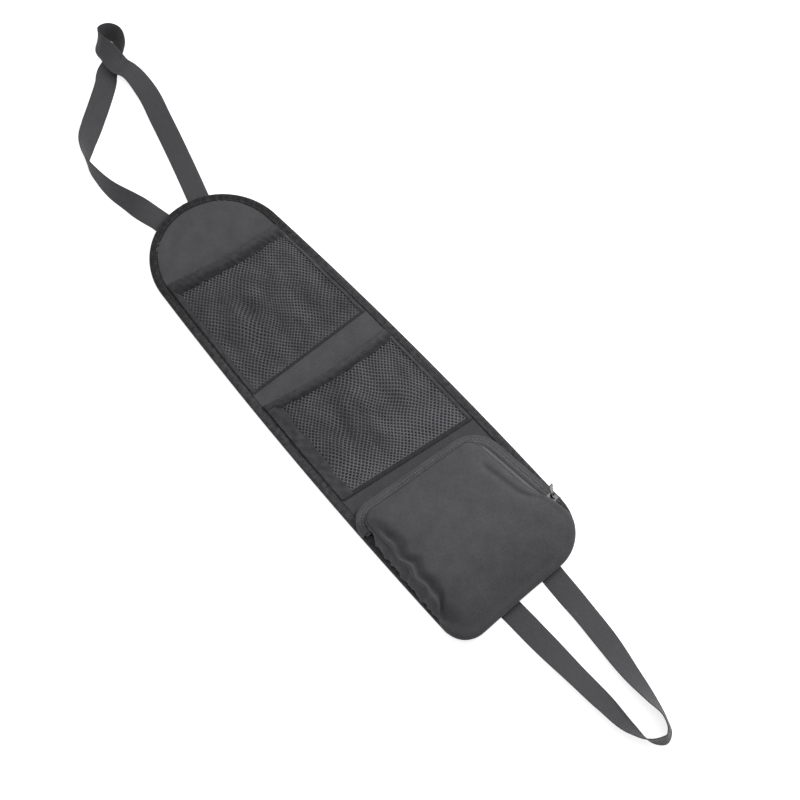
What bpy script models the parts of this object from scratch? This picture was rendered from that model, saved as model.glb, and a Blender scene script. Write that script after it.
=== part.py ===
"""Car seat side organizer: an arched, bound cloth panel with two net pockets, one zip pocket and two webbing loops.

Metres, +Z up. The panel lies on its back: the origin is the middle of the rear cloth's rear face, +Y runs to the
arched end, and +X is the side where the zip's slider rests.
"""

import math

import bmesh
import bpy
import numpy as np

# Panel outline
PANEL_LENGTH = 0.585
ARCH_LENGTH = 0.0770
ARCH_POWER = 2.09
WIDEST_HALF = 0.0920
WIDEST_Y = -0.160
SIDE_BOW = 0.0907
CORNER_RADIUS_RIGHT = 0.0500
CORNER_RADIUS_LEFT = 0.0260

# Layers of the panel
CLEARANCE = 0.0003
CLOTH = 0.0005
STIFFENER = 0.0012
BINDING_CLOTH = 0.0005
BINDING_WIDTH = 0.010

# Webbing
WEBBING_WIDTH = 0.025
WEBBING_THICKNESS = 0.0012
LOOP_STATION_STEP = 0.0075

# Net pockets: mouth and seam heights are measured down from the top of the arch
NET_THICKNESS = 0.0006
NET_EDGE_CLEARANCE = 0.0006
NET_COLUMNS = 14
NET_ROWS = 12
NET_HOLE_SHARE = 0.80
NET_BULGE = 0.012
PUCKER = 0.0011
HEM_CLOTH = 0.0005
UPPER_MOUTH_LEFT = 0.0725
UPPER_MOUTH_MIDDLE = 0.0915
UPPER_MOUTH_RIGHT = 0.0893
UPPER_HEM_WIDTH = 0.0167
UPPER_SEAM = 0.2368
MIDDLE_MOUTH_LEFT = 0.2547
MIDDLE_MOUTH_MIDDLE = 0.2723
MIDDLE_MOUTH_RIGHT = 0.2678
MIDDLE_HEM_WIDTH = 0.0122
MIDDLE_SEAM_LEFT = 0.3900
MIDDLE_SEAM_RIGHT = 0.4075

# Zip pocket
POCKET_TOP_LEFT = 0.4133
POCKET_TOP_RIGHT = 0.4242
POCKET_LEFT_INSET = 0.0073
POCKET_RIGHT_INSET = 0.0196
POCKET_FOOT_INSET = 0.0015
POCKET_FOOT_RADIUS_RIGHT = 0.0440
POCKET_FOOT_RADIUS_LEFT = 0.0240
POCKET_LEFT_RADIUS = 0.018
POCKET_RIGHT_RADIUS = 0.030
POCKET_CLOTH = 0.0010
POCKET_HEIGHT = 0.0305
SEAM_HEIGHT_RIGHT = 0.0240
SEAM_HEIGHT_LEFT = 0.0170
SEAM_INSET_RIGHT = 0.0160
SEAM_INSET_TOP = 0.0080
SEAM_INSET_LEFT = 0.0050
SEAM_INSET_BOTTOM = 0.0005
SEAM_INSET_ZIP_END = 0.0055
SEAM_RISE_ZIP_END = 0.0085
SEAM_FALL_RIGHT = 0.026
SEAM_FALL_LEFT = 0.024
SEAM_CLIMB_RIGHT = 0.035
DOME_POWER = 5.0
WALL_BULGE_BOTTOM = 0.0055
WALL_BULGE_CORNER = 0.0075
GUSSET_CLOTH = 0.0008
GUSSET_RUN_ON = 0.018
GUSSET_STOP_SHORT = 0.004
GUSSET_TAPE_OVERLAP = 0.0058
GUSSET_FADE = 0.016
GUSSET_BULGE = 0.0010
CRUMPLE_BULGE = 0.0035
CRUMPLE_DEPTH = 0.0018
CRUMPLE_LENGTH = 0.027
FRONT_RINGS = [0.3, 0.58, 0.78, 0.89, 0.955, 0.99, 1.0]

# Zip
ZIP_HEIGHT = 0.0090
ZIP_RUN_ON = 0.004
TOOTH_ROW_GAP = 0.0010
TOOTH_ROW_WIDTH = 0.0022
TOOTH_ROW_THICKNESS = 0.0016
TAPE_THICKNESS = 0.0005
TAPE_REACH = 0.0062
TAPE_STEP = 0.0050
TAPE_BEND = 0.0010
TAPE_EDGE_MARGIN = 0.0010
SLIDER_LENGTH = 0.0100
SLIDER_PLATE = 0.0010
SLIDER_FLANGE = 0.0010
SLIDER_POST_LENGTH = 0.0030
SLIDER_REST = 0.0065
STOP_LENGTH = 0.0020
SLIDER_NARROWING = 0.75
SLIDER_POST_SETBACK = 0.0010
BAIL_LENGTH = 0.0060
BAIL_WIDTH = 0.0014
BAIL_BAR = 0.0010
BAIL_OPENING = 0.0022
PULL_LENGTH = 0.0240
PULL_WIDTH = 0.0052
PULL_THICKNESS = 0.0011
PULL_EYE_LENGTH = 0.0050
PULL_WAIST = 0.72
PULL_TIP = 0.80
PULL_LEAN = math.radians(77.0)

# Heights of the layers above the rear cloth's rear face
REAR_TOP = CLOTH
STIFFENER_LOW = REAR_TOP + CLEARANCE
FRONT_LOW = STIFFENER_LOW + STIFFENER + CLEARANCE
FRONT_TOP = FRONT_LOW + CLOTH
BINDING_TOP = FRONT_TOP + CLEARANCE + BINDING_CLOTH
BINDING_LOW = -CLEARANCE - BINDING_CLOTH
FLOOR = BINDING_LOW - CLEARANCE - WEBBING_THICKNESS

PANEL_TOP = PANEL_LENGTH / 2
PANEL_BOTTOM = -PANEL_LENGTH / 2
ARCH_START = PANEL_TOP - ARCH_LENGTH

# The loops' routes as they lie: x, distance beyond the panel's end, roll in degrees, lift off the ground.
# At roll 0 the webbing lies flat with its front face up, and at 90 it stands on edge.
HEADREST_ROUTE = [
    (0.0145, -0.0425, 0, 0.0),
    (0.0259, -0.0047, 0, 0.0),
    (0.0398, 0.0425, 0, 0.0),
    (0.0577, 0.1094, 5, 0.001),
    (0.0680, 0.1520, -2, 0.003),
    (0.0680, 0.1852, -10, 0.0062),
    (0.0640, 0.2006, 4, 0.0065),
    (0.0640, 0.2220, 36, 0.003),
    (0.0637, 0.2357, 53, 0.0005),
    (0.0710, 0.2480, 87, 0.0),
    (0.0820, 0.2440, 106, 0.0),
    (0.0864, 0.2343, 120, 0.0),
    (0.0805, 0.2220, 135, 0.0),
    (0.0656, 0.2137, 158, 0.0),
    (0.0492, 0.2050, 178, 0.0),
    (0.0391, 0.1930, 188, 0.0),
    (0.0177, 0.1737, 198, 0.0),
    (-0.0085, 0.1522, 209, 0.0),
    (-0.0309, 0.1315, 238, 0.0),
    (-0.0422, 0.1155, 266, 0.0),
    (-0.0460, 0.0855, 284, 0.0),
    (-0.0445, 0.0649, 294, 0.0),
    (-0.0363, 0.0362, 316, 0.0),
    (-0.0290, 0.0165, 349, 0.0),
    (-0.0247, 0.0035, 360, 0.0),
    (-0.0222, -0.0103, 360, 0.0),
    (-0.0120, -0.0495, 360, 0.0),
]
SEAT_ROUTE = [
    (0.0340, -0.0405, 0, 0.0),
    (0.0297, 0.0103, 0, 0.0),
    (0.0289, 0.0255, 0, 0.0),
    (0.0273, 0.0497, 9, 0.0),
    (0.0246, 0.0847, 12, 0.0),
    (0.0185, 0.1285, 34, 0.0),
    (0.0158, 0.1570, 55, 0.0),
    (0.0130, 0.1785, 73, 0.0),
    (0.0065, 0.1910, 73, 0.0),
    (0.0005, 0.1940, 76, 0.0),
    (-0.0070, 0.1905, 85, 0.0),
    (-0.0155, 0.1800, 106, 0.0),
    (-0.0190, 0.1659, 126, 0.0),
    (-0.0205, 0.1299, 150, 0.0),
    (-0.0226, 0.0894, 159, 0.0),
    (-0.0244, 0.0354, 180, 0.0),
    (-0.0260, -0.0038, 180, 0.0),
    (-0.0285, -0.0405, 180, 0.0),
]


def clear_scene():
    for old in list(bpy.data.objects):
        bpy.data.objects.remove(old, do_unlink=True)


def material(name, colour, roughness, metallic=0.0):
    made = bpy.data.materials.new(name)
    made.use_nodes = True
    shader = made.node_tree.nodes["Principled BSDF"]
    shader.inputs["Base Color"].default_value = (*colour, 1.0)
    shader.inputs["Roughness"].default_value = roughness
    shader.inputs["Metallic"].default_value = metallic
    return made


def add_object(name, mesh, look):
    mesh.materials.clear()
    mesh.materials.append(look)
    made = bpy.data.objects.new(name, mesh)
    bpy.context.scene.collection.objects.link(made)
    return made


def solid(name, points, faces, look, sharp_degrees=35.0):
    """One closed body from its corners and faces, with the faces turned outwards."""
    mesh = bpy.data.meshes.new(name)
    mesh.from_pydata([tuple(map(float, p)) for p in points], [], faces)
    shape = bmesh.new()
    shape.from_mesh(mesh)
    bmesh.ops.recalc_face_normals(shape, faces=shape.faces)
    shape.to_mesh(mesh)
    shape.free()
    mesh.shade_smooth()
    mesh.set_sharp_from_angle(angle=math.radians(sharp_degrees))
    return add_object(name, mesh, look)


def plate(name, outline, low, high, look):
    """A flat sheet with that outline, from one height to the other."""
    count = len(outline)
    points = [(x, y, z) for z in (low, high) for x, y in outline]
    faces = [tuple(range(count)), tuple(range(count, 2 * count))]
    faces += [(i, (i + 1) % count, count + (i + 1) % count, count + i) for i in range(count)]
    return solid(name, points, faces, look)


def swept(name, sections, look, closed=False):
    """A bar through a row of sections, each a closed loop of the same number of points."""
    rows, across = len(sections), len(sections[0])
    points = np.asarray(sections, float).reshape(-1, 3)
    faces = []
    for i in range(rows if closed else rows - 1):
        a, b = i * across, (i + 1) % rows * across
        faces += [(a + k, a + (k + 1) % across, b + (k + 1) % across, b + k) for k in range(across)]
    if not closed:
        faces += [tuple(range(across)), tuple(range((rows - 1) * across, rows * across))]
    return solid(name, points, faces, look)


def smooth_step(t):
    t = np.clip(t, 0.0, 1.0)
    return t * t * (3.0 - 2.0 * t)


def along_keys(s, keys):
    """A value that eases from each key to the next; keys are pairs of distance and value."""
    at = np.array([k[0] for k in keys])
    value = np.array([k[1] for k in keys])
    i = np.clip(np.searchsorted(at, s, side="right") - 1, 0, len(at) - 2)
    t = (s - at[i]) / (at[i + 1] - at[i])
    return value[i] + (value[i + 1] - value[i]) * smooth_step(t)


def spline(stations, step):
    """Catmull-Rom curve through the stations, which are rows of numbers, with points about step apart."""
    rows = np.asarray(stations, float)
    gaps = np.linalg.norm(np.diff(rows[:, :2], axis=0), axis=1)
    knots = np.concatenate([[0.0], np.cumsum(gaps)])
    slopes = np.gradient(rows, knots, axis=0)
    s = np.linspace(0.0, knots[-1], max(2, int(math.ceil(knots[-1] / step)) + 1))
    i = np.clip(np.searchsorted(knots, s, side="right") - 1, 0, len(knots) - 2)
    span = (knots[i + 1] - knots[i])[:, None]
    t = ((s - knots[i])[:, None]) / span
    return (
        (2 * t**3 - 3 * t**2 + 1) * rows[i]
        + (t**3 - 2 * t**2 + t) * span * slopes[i]
        + (3 * t**2 - 2 * t**3) * rows[i + 1]
        + (t**3 - t**2) * span * slopes[i + 1]
    )


# Panel


def side_line(y):
    """Half of the panel's width with neither arch nor corners: a gentle bow, widest near the zip pocket."""
    return WIDEST_HALF - SIDE_BOW * (y - WIDEST_Y) ** 2


def half_width(y):
    """Half of the panel's width at height y, corners left out: bowed sides under a superellipse arch."""
    y = np.asarray(y, float)
    share = np.clip((y - ARCH_START) / ARCH_LENGTH, 0.0, 1.0)
    return side_line(y) * (1.0 - share**ARCH_POWER) ** (1.0 / ARCH_POWER)


def inner_half_width(y, inset):
    """Half of the width inside a band of that width along the panel's edge."""
    slope = (half_width(y + 1e-4) - half_width(y - 1e-4)) / 2e-4
    return half_width(y) - inset * np.sqrt(1.0 + slope**2)


def rounded(before, corner, after, radius, count):
    """Points on the arc that rounds a corner, from the side of before to the side of after."""
    before, corner, after = (np.asarray(p, float) for p in (before, corner, after))
    back = (before - corner) / np.linalg.norm(before - corner)
    onward = (after - corner) / np.linalg.norm(after - corner)
    half_angle = math.acos(float(np.clip(back @ onward, -1.0, 1.0))) / 2
    middle = (back + onward) / np.linalg.norm(back + onward)
    centre = corner + middle * radius / math.sin(half_angle)
    first = corner + back * radius / math.tan(half_angle) - centre
    start = math.atan2(first[1], first[0])
    angles = start + np.linspace(0.0, math.pi - 2 * half_angle, count)
    return centre + radius * np.column_stack([np.cos(angles), np.sin(angles)])


def half_outline(radius):
    """The panel's outline on +X, from the arc of its bottom corner up to the arch's top."""
    corner = (half_width(PANEL_BOTTOM), PANEL_BOTTOM)
    above = (half_width(PANEL_BOTTOM + radius), PANEL_BOTTOM + radius)
    arc = rounded((0.0, PANEL_BOTTOM), corner, above, radius, 8)
    side_y = np.linspace(arc[-1, 1], ARCH_START, 12)[1:]
    side = np.column_stack([half_width(side_y), side_y])
    turn = np.radians(np.linspace(0.0, 90.0, 14))[1:]
    arch_y = ARCH_START + ARCH_LENGTH * np.sin(turn) ** (2.0 / ARCH_POWER)
    arch_x = side_line(arch_y) * np.cos(turn).clip(0.0) ** (2.0 / ARCH_POWER)
    return np.vstack([arc, side, np.column_stack([arch_x, arch_y])])


def panel_outline(inset):
    """The panel's outline, moved inwards by inset, anticlockwise from the middle of its bottom edge."""
    right = half_outline(CORNER_RADIUS_RIGHT)
    left = half_outline(CORNER_RADIUS_LEFT)[-2::-1] * (-1.0, 1.0)
    outline = np.vstack([[(0.0, PANEL_BOTTOM)], right, left])
    ahead = np.roll(outline, -1, axis=0) - np.roll(outline, 1, axis=0)
    ahead /= np.linalg.norm(ahead, axis=1)[:, None]
    outward = np.column_stack([ahead[:, 1], -ahead[:, 0]])
    return outline - inset * outward


def make_panel(cloth, backing):
    inner = panel_outline(BINDING_CLOTH + CLEARANCE)
    plate("rear_cloth", inner, 0.0, REAR_TOP, cloth)
    plate("stiffener_sheet", inner, STIFFENER_LOW, STIFFENER_LOW + STIFFENER, backing)
    plate("front_cloth", inner, FRONT_LOW, FRONT_TOP, cloth)


def make_binding(look):
    """The edge tape: a U section round the whole panel, open towards the panel's middle."""
    section = [
        (0.0, BINDING_LOW),
        (0.0, BINDING_TOP),
        (BINDING_WIDTH, BINDING_TOP),
        (BINDING_WIDTH, BINDING_TOP - BINDING_CLOTH),
        (BINDING_CLOTH, BINDING_TOP - BINDING_CLOTH),
        (BINDING_CLOTH, BINDING_LOW + BINDING_CLOTH),
        (BINDING_WIDTH, BINDING_LOW + BINDING_CLOTH),
        (BINDING_WIDTH, BINDING_LOW),
    ]
    rings = {inset: panel_outline(inset) for inset, _ in section}
    count = len(rings[0.0])
    sections = [[(*rings[inset][i], z) for inset, z in section] for i in range(count)]
    swept("edge_binding", sections, look, closed=True)


# Net pockets


class NetPocket:
    """The net's middle surface, by u from side to side (-1 to 1) and v from seam to mouth (0 to 1)."""

    def __init__(self, mouth, seam, hem_width):
        self.mouth = [PANEL_TOP - down for down in mouth]
        self.seam = [PANEL_TOP - down for down in seam]
        self.hem_width = hem_width
        self.depth = self.mouth[1] - sum(self.seam) / 2

    def height_line(self, u, v):
        left, middle, right = self.mouth
        mouth = middle + u * (right - left) / 2 + u**2 * ((left + right) / 2 - middle)
        seam = self.seam[0] + (self.seam[1] - self.seam[0]) * (u + 1) / 2
        return seam + (mouth - seam) * v

    def at(self, u, v):
        u, v = np.broadcast_arrays(np.asarray(u, float), np.asarray(v, float))
        y = self.height_line(u, v)
        x = u * (inner_half_width(y, BINDING_WIDTH) - NET_EDGE_CLEARANCE)
        flat = FRONT_TOP + CLEARANCE + NET_THICKNESS / 2
        hem_room = CLEARANCE + HEM_CLOTH + CLEARANCE
        belly = np.clip(1.0 - np.abs(u) ** 2.4, 0.0, 1.0)
        rise = smooth_step(v / 0.85) ** 0.8
        folds = np.cos(9.0 * u + 3.0 * v) * np.sin(math.pi * np.clip(v / 0.85, 0.0, 1.0))
        z = flat + hem_room * smooth_step(v / 0.7) + belly * (NET_BULGE * rise + PUCKER * folds)
        return np.stack([x, y, z], axis=-1)

    def normal(self, u, v):
        step = 1e-3
        across = self.at(u + step, v) - self.at(u - step, v)
        up = self.at(u, v + step) - self.at(u, v - step)
        n = np.cross(across, up)
        return n / np.linalg.norm(n, axis=-1, keepdims=True)


def make_net(name, pocket, look):
    """Diagonal strands: crossings where column and row add up to an even number, and a gap between each four."""
    points, faces, crossing = [], [], {}
    top_share = 1.0 - (pocket.hem_width * 0.2) / pocket.depth

    def add(i, j):
        points.append((2.0 * i / NET_COLUMNS - 1.0, top_share * j / NET_ROWS))
        return len(points) - 1

    def cross(i, j):
        if (i, j) not in crossing:
            crossing[i, j] = add(i, j)
        return crossing[i, j]

    for i in range(NET_COLUMNS + 1):
        for j in range(NET_ROWS + 1):
            if (i + j) % 2 == 0:
                continue
            around = [
                (min(i + 1, NET_COLUMNS), j),
                (i, min(j + 1, NET_ROWS)),
                (max(i - 1, 0), j),
                (i, max(j - 1, 0)),
            ]
            ring = [cross(*p) for p in around]
            if (i, j) in around:
                faces.append(tuple(ring))
                continue
            hole = [add(i + NET_HOLE_SHARE * (a - i), j + NET_HOLE_SHARE * (b - j)) for a, b in around]
            faces += [(ring[k], ring[(k + 1) % 4], hole[(k + 1) % 4], hole[k]) for k in range(4)]
    solid(name, *thickened(pocket, points, faces), look, sharp_degrees=50.0)


def thickened(pocket, places, faces):
    """Corners and faces of a sheet of the net's thickness on the pocket's surface, with its walls."""
    u, v = np.array(places).T
    middle, normal = pocket.at(u, v), pocket.normal(u, v)
    count = len(places)
    points = np.vstack([middle + normal * NET_THICKNESS / 2, middle - normal * NET_THICKNESS / 2])
    whole = list(faces) + [tuple(count + k for k in reversed(face)) for face in faces]
    directed = {(a, b) for face in faces for a, b in zip(face, face[1:] + face[:1])}
    rim = [(a, b) for a, b in directed if (b, a) not in directed]
    whole += [(b, a, count + a, count + b) for a, b in sorted(rim)]
    return points, whole


def make_hem(name, pocket, look):
    """The tape folded over the net's mouth: a U section, open towards the seam."""
    inner = NET_THICKNESS / 2 + CLEARANCE
    outer = inner + HEM_CLOTH
    low = 1.0 - pocket.hem_width / pocket.depth
    middle = (1.0 + low) / 2
    fold = 1.0 - HEM_CLOTH / pocket.depth
    section = [
        (low, outer),
        (middle, outer),
        (1.0, outer),
        (1.0, -outer),
        (middle, -outer),
        (low, -outer),
        (low, -inner),
        (middle, -inner),
        (fold, -inner),
        (fold, inner),
        (middle, inner),
        (low, inner),
    ]
    sections = []
    for u in np.linspace(-1.0, 1.0, 19):
        sections.append([pocket.at(u, v) + pocket.normal(u, v) * off for v, off in section])
    swept(name, sections, look)


# Zip pocket


class PocketPath:
    """The zip pocket's foot line: four straight sides with round corners, anticlockwise from mid bottom."""

    def __init__(self):
        low = PANEL_BOTTOM + POCKET_FOOT_INSET
        low_half = float(half_width(PANEL_BOTTOM)) - POCKET_FOOT_INSET
        top_right = PANEL_TOP - POCKET_TOP_RIGHT
        top_left = PANEL_TOP - POCKET_TOP_LEFT
        corners = [
            (low_half, low, POCKET_FOOT_RADIUS_RIGHT),
            (float(half_width(top_right)) - POCKET_RIGHT_INSET, top_right, POCKET_RIGHT_RADIUS),
            (POCKET_LEFT_INSET - float(half_width(top_left)), top_left, POCKET_LEFT_RADIUS),
            (-low_half, low, POCKET_FOOT_RADIUS_LEFT),
        ]
        line = [np.array([(0.0, low)])]
        for k, (x, y, radius) in enumerate(corners):
            before, after = corners[k - 1][:2], corners[(k + 1) % 4][:2]
            line.append(rounded(before, (x, y), after, radius, ARC_POINTS))
        line.append(line[0])
        self.line = np.vstack(line)
        gaps = np.linalg.norm(np.diff(self.line, axis=0), axis=1)
        self.distance = np.concatenate([[0.0], np.cumsum(gaps)])
        self.length = self.distance[-1]
        first_points = 1 + ARC_POINTS * np.arange(4)
        self.arc_start = self.distance[first_points]
        self.arc_end = self.distance[first_points + ARC_POINTS - 1]

    def at(self, s):
        s = np.mod(s, self.length)
        return np.stack([np.interp(s, self.distance, self.line[:, k]) for k in (0, 1)], axis=-1)

    def outward(self, s):
        step = 1e-3
        ahead = self.at(s + step) - self.at(s - step)
        ahead /= np.linalg.norm(ahead, axis=-1, keepdims=True)
        return np.stack([ahead[..., 1], -ahead[..., 0]], axis=-1)

    def offset(self, s, out):
        return self.at(s) + self.outward(s) * np.asarray(out)[..., None]


ARC_POINTS = 25
PATH = PocketPath()
RIGHT_FOOT, RIGHT_HEAD = float(PATH.arc_end[0]), float(PATH.arc_start[1])
TOP_START, TOP_END = float(PATH.arc_end[1]), float(PATH.arc_start[2])
LEFT_HEAD, LEFT_FOOT = float(PATH.arc_end[2]), float(PATH.arc_start[3])
ZIP_CLOSED_END = RIGHT_FOOT
ZIP_OPEN_END = LEFT_HEAD + ZIP_RUN_ON
FOOT_HEIGHT = BINDING_TOP + CLEARANCE
GUSSET_ON_TAPE = ZIP_HEIGHT + TAPE_THICKNESS / 2 + CLEARANCE


def rim_stations():
    """Distances along the path where the pocket's pieces have their corners, closest on the crumpled side."""
    stretches = [
        (0.0, float(PATH.arc_start[0]), 4),
        (float(PATH.arc_start[0]), RIGHT_FOOT, 8),
        (RIGHT_FOOT, RIGHT_HEAD, 10),
        (RIGHT_HEAD, TOP_START, 5),
        (TOP_START, TOP_END, 9),
        (TOP_END, LEFT_HEAD, 5),
        (LEFT_HEAD, LEFT_FOOT, 30),
        (LEFT_FOOT, float(PATH.arc_end[3]), 9),
        (float(PATH.arc_end[3]), PATH.length, 4),
    ]
    return np.concatenate([np.linspace(a, b, count, endpoint=False) for a, b, count in stretches])


RIM = rim_stations()


def crumple(s):
    """How far the left side's folds push the seam, as a wave that grows towards the pocket's bottom."""
    share = (s - LEFT_HEAD) / (LEFT_FOOT - LEFT_HEAD)
    swell = smooth_step(share / 0.5) * smooth_step((0.98 - share) / 0.25)
    wave = np.sin(2 * math.pi * (s - LEFT_HEAD) / CRUMPLE_LENGTH)
    return swell * wave


def seam_inset(s):
    keys = [
        (0.0, SEAM_INSET_BOTTOM),
        (RIGHT_FOOT - SEAM_FALL_RIGHT, SEAM_INSET_BOTTOM),
        (RIGHT_FOOT, SEAM_INSET_ZIP_END),
        (RIGHT_FOOT + SEAM_CLIMB_RIGHT, SEAM_INSET_RIGHT),
        (RIGHT_HEAD, SEAM_INSET_RIGHT),
        (TOP_START, SEAM_INSET_TOP),
        (TOP_END, SEAM_INSET_TOP),
        (LEFT_HEAD, SEAM_INSET_LEFT),
        (LEFT_FOOT - SEAM_FALL_LEFT, SEAM_INSET_LEFT),
        (LEFT_FOOT, SEAM_INSET_BOTTOM),
        (PATH.length, SEAM_INSET_BOTTOM),
    ]
    return along_keys(s, keys) + CRUMPLE_DEPTH * crumple(s)


def seam_height(s):
    right, left = FRONT_TOP + SEAM_HEIGHT_RIGHT, FRONT_TOP + SEAM_HEIGHT_LEFT
    keys = [
        (0.0, FOOT_HEIGHT),
        (RIGHT_FOOT - SEAM_FALL_RIGHT, FOOT_HEIGHT),
        (RIGHT_FOOT, FOOT_HEIGHT + SEAM_RISE_ZIP_END),
        (RIGHT_FOOT + SEAM_CLIMB_RIGHT, right),
        (TOP_START, right),
        (TOP_END, left),
        (LEFT_FOOT - SEAM_FALL_LEFT, left),
        (LEFT_FOOT, FOOT_HEIGHT),
        (PATH.length, FOOT_HEIGHT),
    ]
    return along_keys(s, keys) + CRUMPLE_DEPTH * crumple(s + 0.3 * CRUMPLE_LENGTH)


def make_pocket_front(look):
    """The front panel: a shell that is nearly flat in the middle and turns down to the seam all round."""
    s = RIM
    rim = PATH.offset(s, -seam_inset(s))
    edge = seam_height(s)
    crown = FRONT_TOP + POCKET_HEIGHT
    middle = rim.mean(axis=0)
    rings = []
    low_wall = np.clip(1.0 - (edge - FOOT_HEIGHT) / SEAM_HEIGHT_LEFT, 0.0, 1.0)
    corner = smooth_step((s - LEFT_FOOT) / SEAM_FALL_LEFT)
    corner = corner * smooth_step((PATH.length - s) / (PATH.length - LEFT_FOOT))
    wall_bulge = (WALL_BULGE_BOTTOM + (WALL_BULGE_CORNER - WALL_BULGE_BOTTOM) * corner) * low_wall
    for share in FRONT_RINGS:
        lift = (1.0 - share**DOME_POWER) ** 0.5
        outward = PATH.outward(s) * (wall_bulge * 2.6 * lift**0.5 * (1.0 - lift))[:, None]
        flat = middle + (rim - middle) * share + outward
        rings.append(np.column_stack([flat, edge + (crown - edge) * lift]))
    outer = np.array(rings)
    ahead = np.roll(outer, -1, axis=1) - np.roll(outer, 1, axis=1)
    below = np.tile([*middle, crown], (1, len(s), 1))
    padded = np.concatenate([below, outer], axis=0)
    down = np.concatenate([padded[2:] - padded[:-2], padded[-1:] - padded[-2:-1]], axis=0)
    normal = np.cross(down, ahead)
    normal /= np.linalg.norm(normal, axis=-1, keepdims=True)
    normal[-1] = np.column_stack([PATH.outward(s), np.zeros(len(s))])
    inner = outer - normal * POCKET_CLOTH
    count, rows = len(s), len(FRONT_RINGS)
    points = np.vstack([outer.reshape(-1, 3), inner.reshape(-1, 3)])
    points = np.vstack([points, [*middle, crown], [*middle, crown - POCKET_CLOTH]])
    half, tip = rows * count, 2 * rows * count
    faces = []
    for k in range(count):
        n = (k + 1) % count
        faces.append((tip, k, n))
        faces.append((tip + 1, half + n, half + k))
        for r in range(rows - 1):
            a, b = r * count, (r + 1) * count
            faces.append((a + k, b + k, b + n, a + n))
            faces.append((half + a + n, half + b + n, half + b + k, half + a + k))
        last = (rows - 1) * count
        faces.append((last + k, half + last + k, half + last + n, last + n))
    solid("pocket_front", points, faces, look, sharp_degrees=60.0)


def gusset_foot(s):
    """The side band's foot: out from the path, and up. On the zip it stands on the inner tape."""
    on_zip = smooth_step((s - ZIP_CLOSED_END + STOP_LENGTH) / GUSSET_FADE + 1.0)
    on_zip = on_zip * smooth_step((ZIP_OPEN_END + STOP_LENGTH - s) / GUSSET_FADE + 1.0)
    out = -GUSSET_TAPE_OVERLAP * on_zip
    return out, FOOT_HEIGHT + (GUSSET_ON_TAPE - FOOT_HEIGHT) * on_zip


def make_gusset(look):
    """The side band, from the right bottom corner over the top to the left bottom corner."""
    s = RIM[(RIM > RIGHT_FOOT - GUSSET_RUN_ON) & (RIM < LEFT_FOOT - GUSSET_STOP_SHORT)]
    share = np.linspace(0.0, 1.0, 6)[:, None]
    foot_out, foot_height = gusset_foot(s)
    top_out, top_height = -seam_inset(s), seam_height(s) - CLEARANCE
    left = smooth_step((s - TOP_END) / (LEFT_HEAD + CRUMPLE_LENGTH - TOP_END))
    left = left * smooth_step((LEFT_FOOT - s) / SEAM_FALL_LEFT)
    belly = GUSSET_BULGE + (CRUMPLE_BULGE - GUSSET_BULGE) * left
    creases = CRUMPLE_DEPTH * crumple(s) * np.sin(2 * math.pi * share)
    out = foot_out + (top_out - foot_out) * share + np.sin(math.pi * share) * belly + creases
    up = foot_height + (top_height - foot_height) * share
    outer, inner = [], []
    for k in range(len(share)):
        outer.append(np.column_stack([PATH.offset(s, out[k]), up[k]]))
        inner.append(np.column_stack([PATH.offset(s, out[k] - GUSSET_CLOTH), up[k]]))
    loop = outer + inner[::-1]
    sections = np.array(loop).transpose(1, 0, 2)
    swept("pocket_gusset", sections, look)


def zip_bar(name, s, section, look):
    """A bar along the zip; the section is a loop of pairs: out from the path, and up."""
    sections = [[(*PATH.offset(at, out), up) for out, up in section] for at in s]
    swept(name, sections, look)


def box_section(near, far, low, high):
    return [(near, low), (far, low), (far, high), (near, high)]


def make_zip(tape, teeth, metal):
    s = np.linspace(ZIP_CLOSED_END, ZIP_OPEN_END, int((ZIP_OPEN_END - ZIP_CLOSED_END) / TAPE_STEP))
    near = TOOTH_ROW_GAP / 2
    far = near + TOOTH_ROW_WIDTH
    low, high = ZIP_HEIGHT - TOOTH_ROW_THICKNESS / 2, ZIP_HEIGHT + TOOTH_ROW_THICKNESS / 2
    tape_low, tape_high = ZIP_HEIGHT - TAPE_THICKNESS / 2, ZIP_HEIGHT + TAPE_THICKNESS / 2
    start = far + CLEARANCE
    zip_bar("zip_teeth_rear", s, box_section(near, far, low, high), teeth)
    zip_bar("zip_teeth_front", s, box_section(-near, -far, low, high), teeth)
    inner_reach = -(TAPE_REACH + GUSSET_CLOTH)
    zip_bar("zip_tape_front", s, box_section(-start, inner_reach, tape_low, tape_high), tape)
    sections = []
    for at in s:
        x, y = PATH.at(at)
        room = float(half_width(y)) - abs(x) - TAPE_EDGE_MARGIN
        reach = min(TAPE_REACH, max(room, start + 2 * TAPE_BEND))
        foot_x, foot_y = PATH.offset(at, reach)
        on_binding = half_width(foot_y) - abs(foot_x) < BINDING_WIDTH + TAPE_EDGE_MARGIN
        foot = FOOT_HEIGHT if on_binding else FRONT_TOP + CLEARANCE
        section = [
            (start, tape_high),
            (reach - TAPE_BEND, tape_high),
            (reach, tape_high - TAPE_BEND),
            (reach, foot),
            (reach - TAPE_THICKNESS, foot),
            (reach - TAPE_THICKNESS, tape_low - TAPE_BEND),
            (reach - TAPE_BEND - TAPE_THICKNESS / 2, tape_low),
            (start, tape_low),
        ]
        sections.append([(*PATH.offset(at, out), up) for out, up in section])
    swept("zip_tape_rear", sections, tape)
    rows = {"rear": (near, far), "front": (-near, -far)}
    for side, (a, b) in rows.items():
        ends = np.array([ZIP_CLOSED_END - CLEARANCE - STOP_LENGTH, ZIP_CLOSED_END - CLEARANCE])
        zip_bar(f"zip_stop_{side}", ends, box_section(a, b, low, high), metal)
    ends = np.array([ZIP_OPEN_END + CLEARANCE, ZIP_OPEN_END + CLEARANCE + STOP_LENGTH])
    zip_bar("zip_end_stop", ends, box_section(-far, far, low, high), metal)


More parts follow.
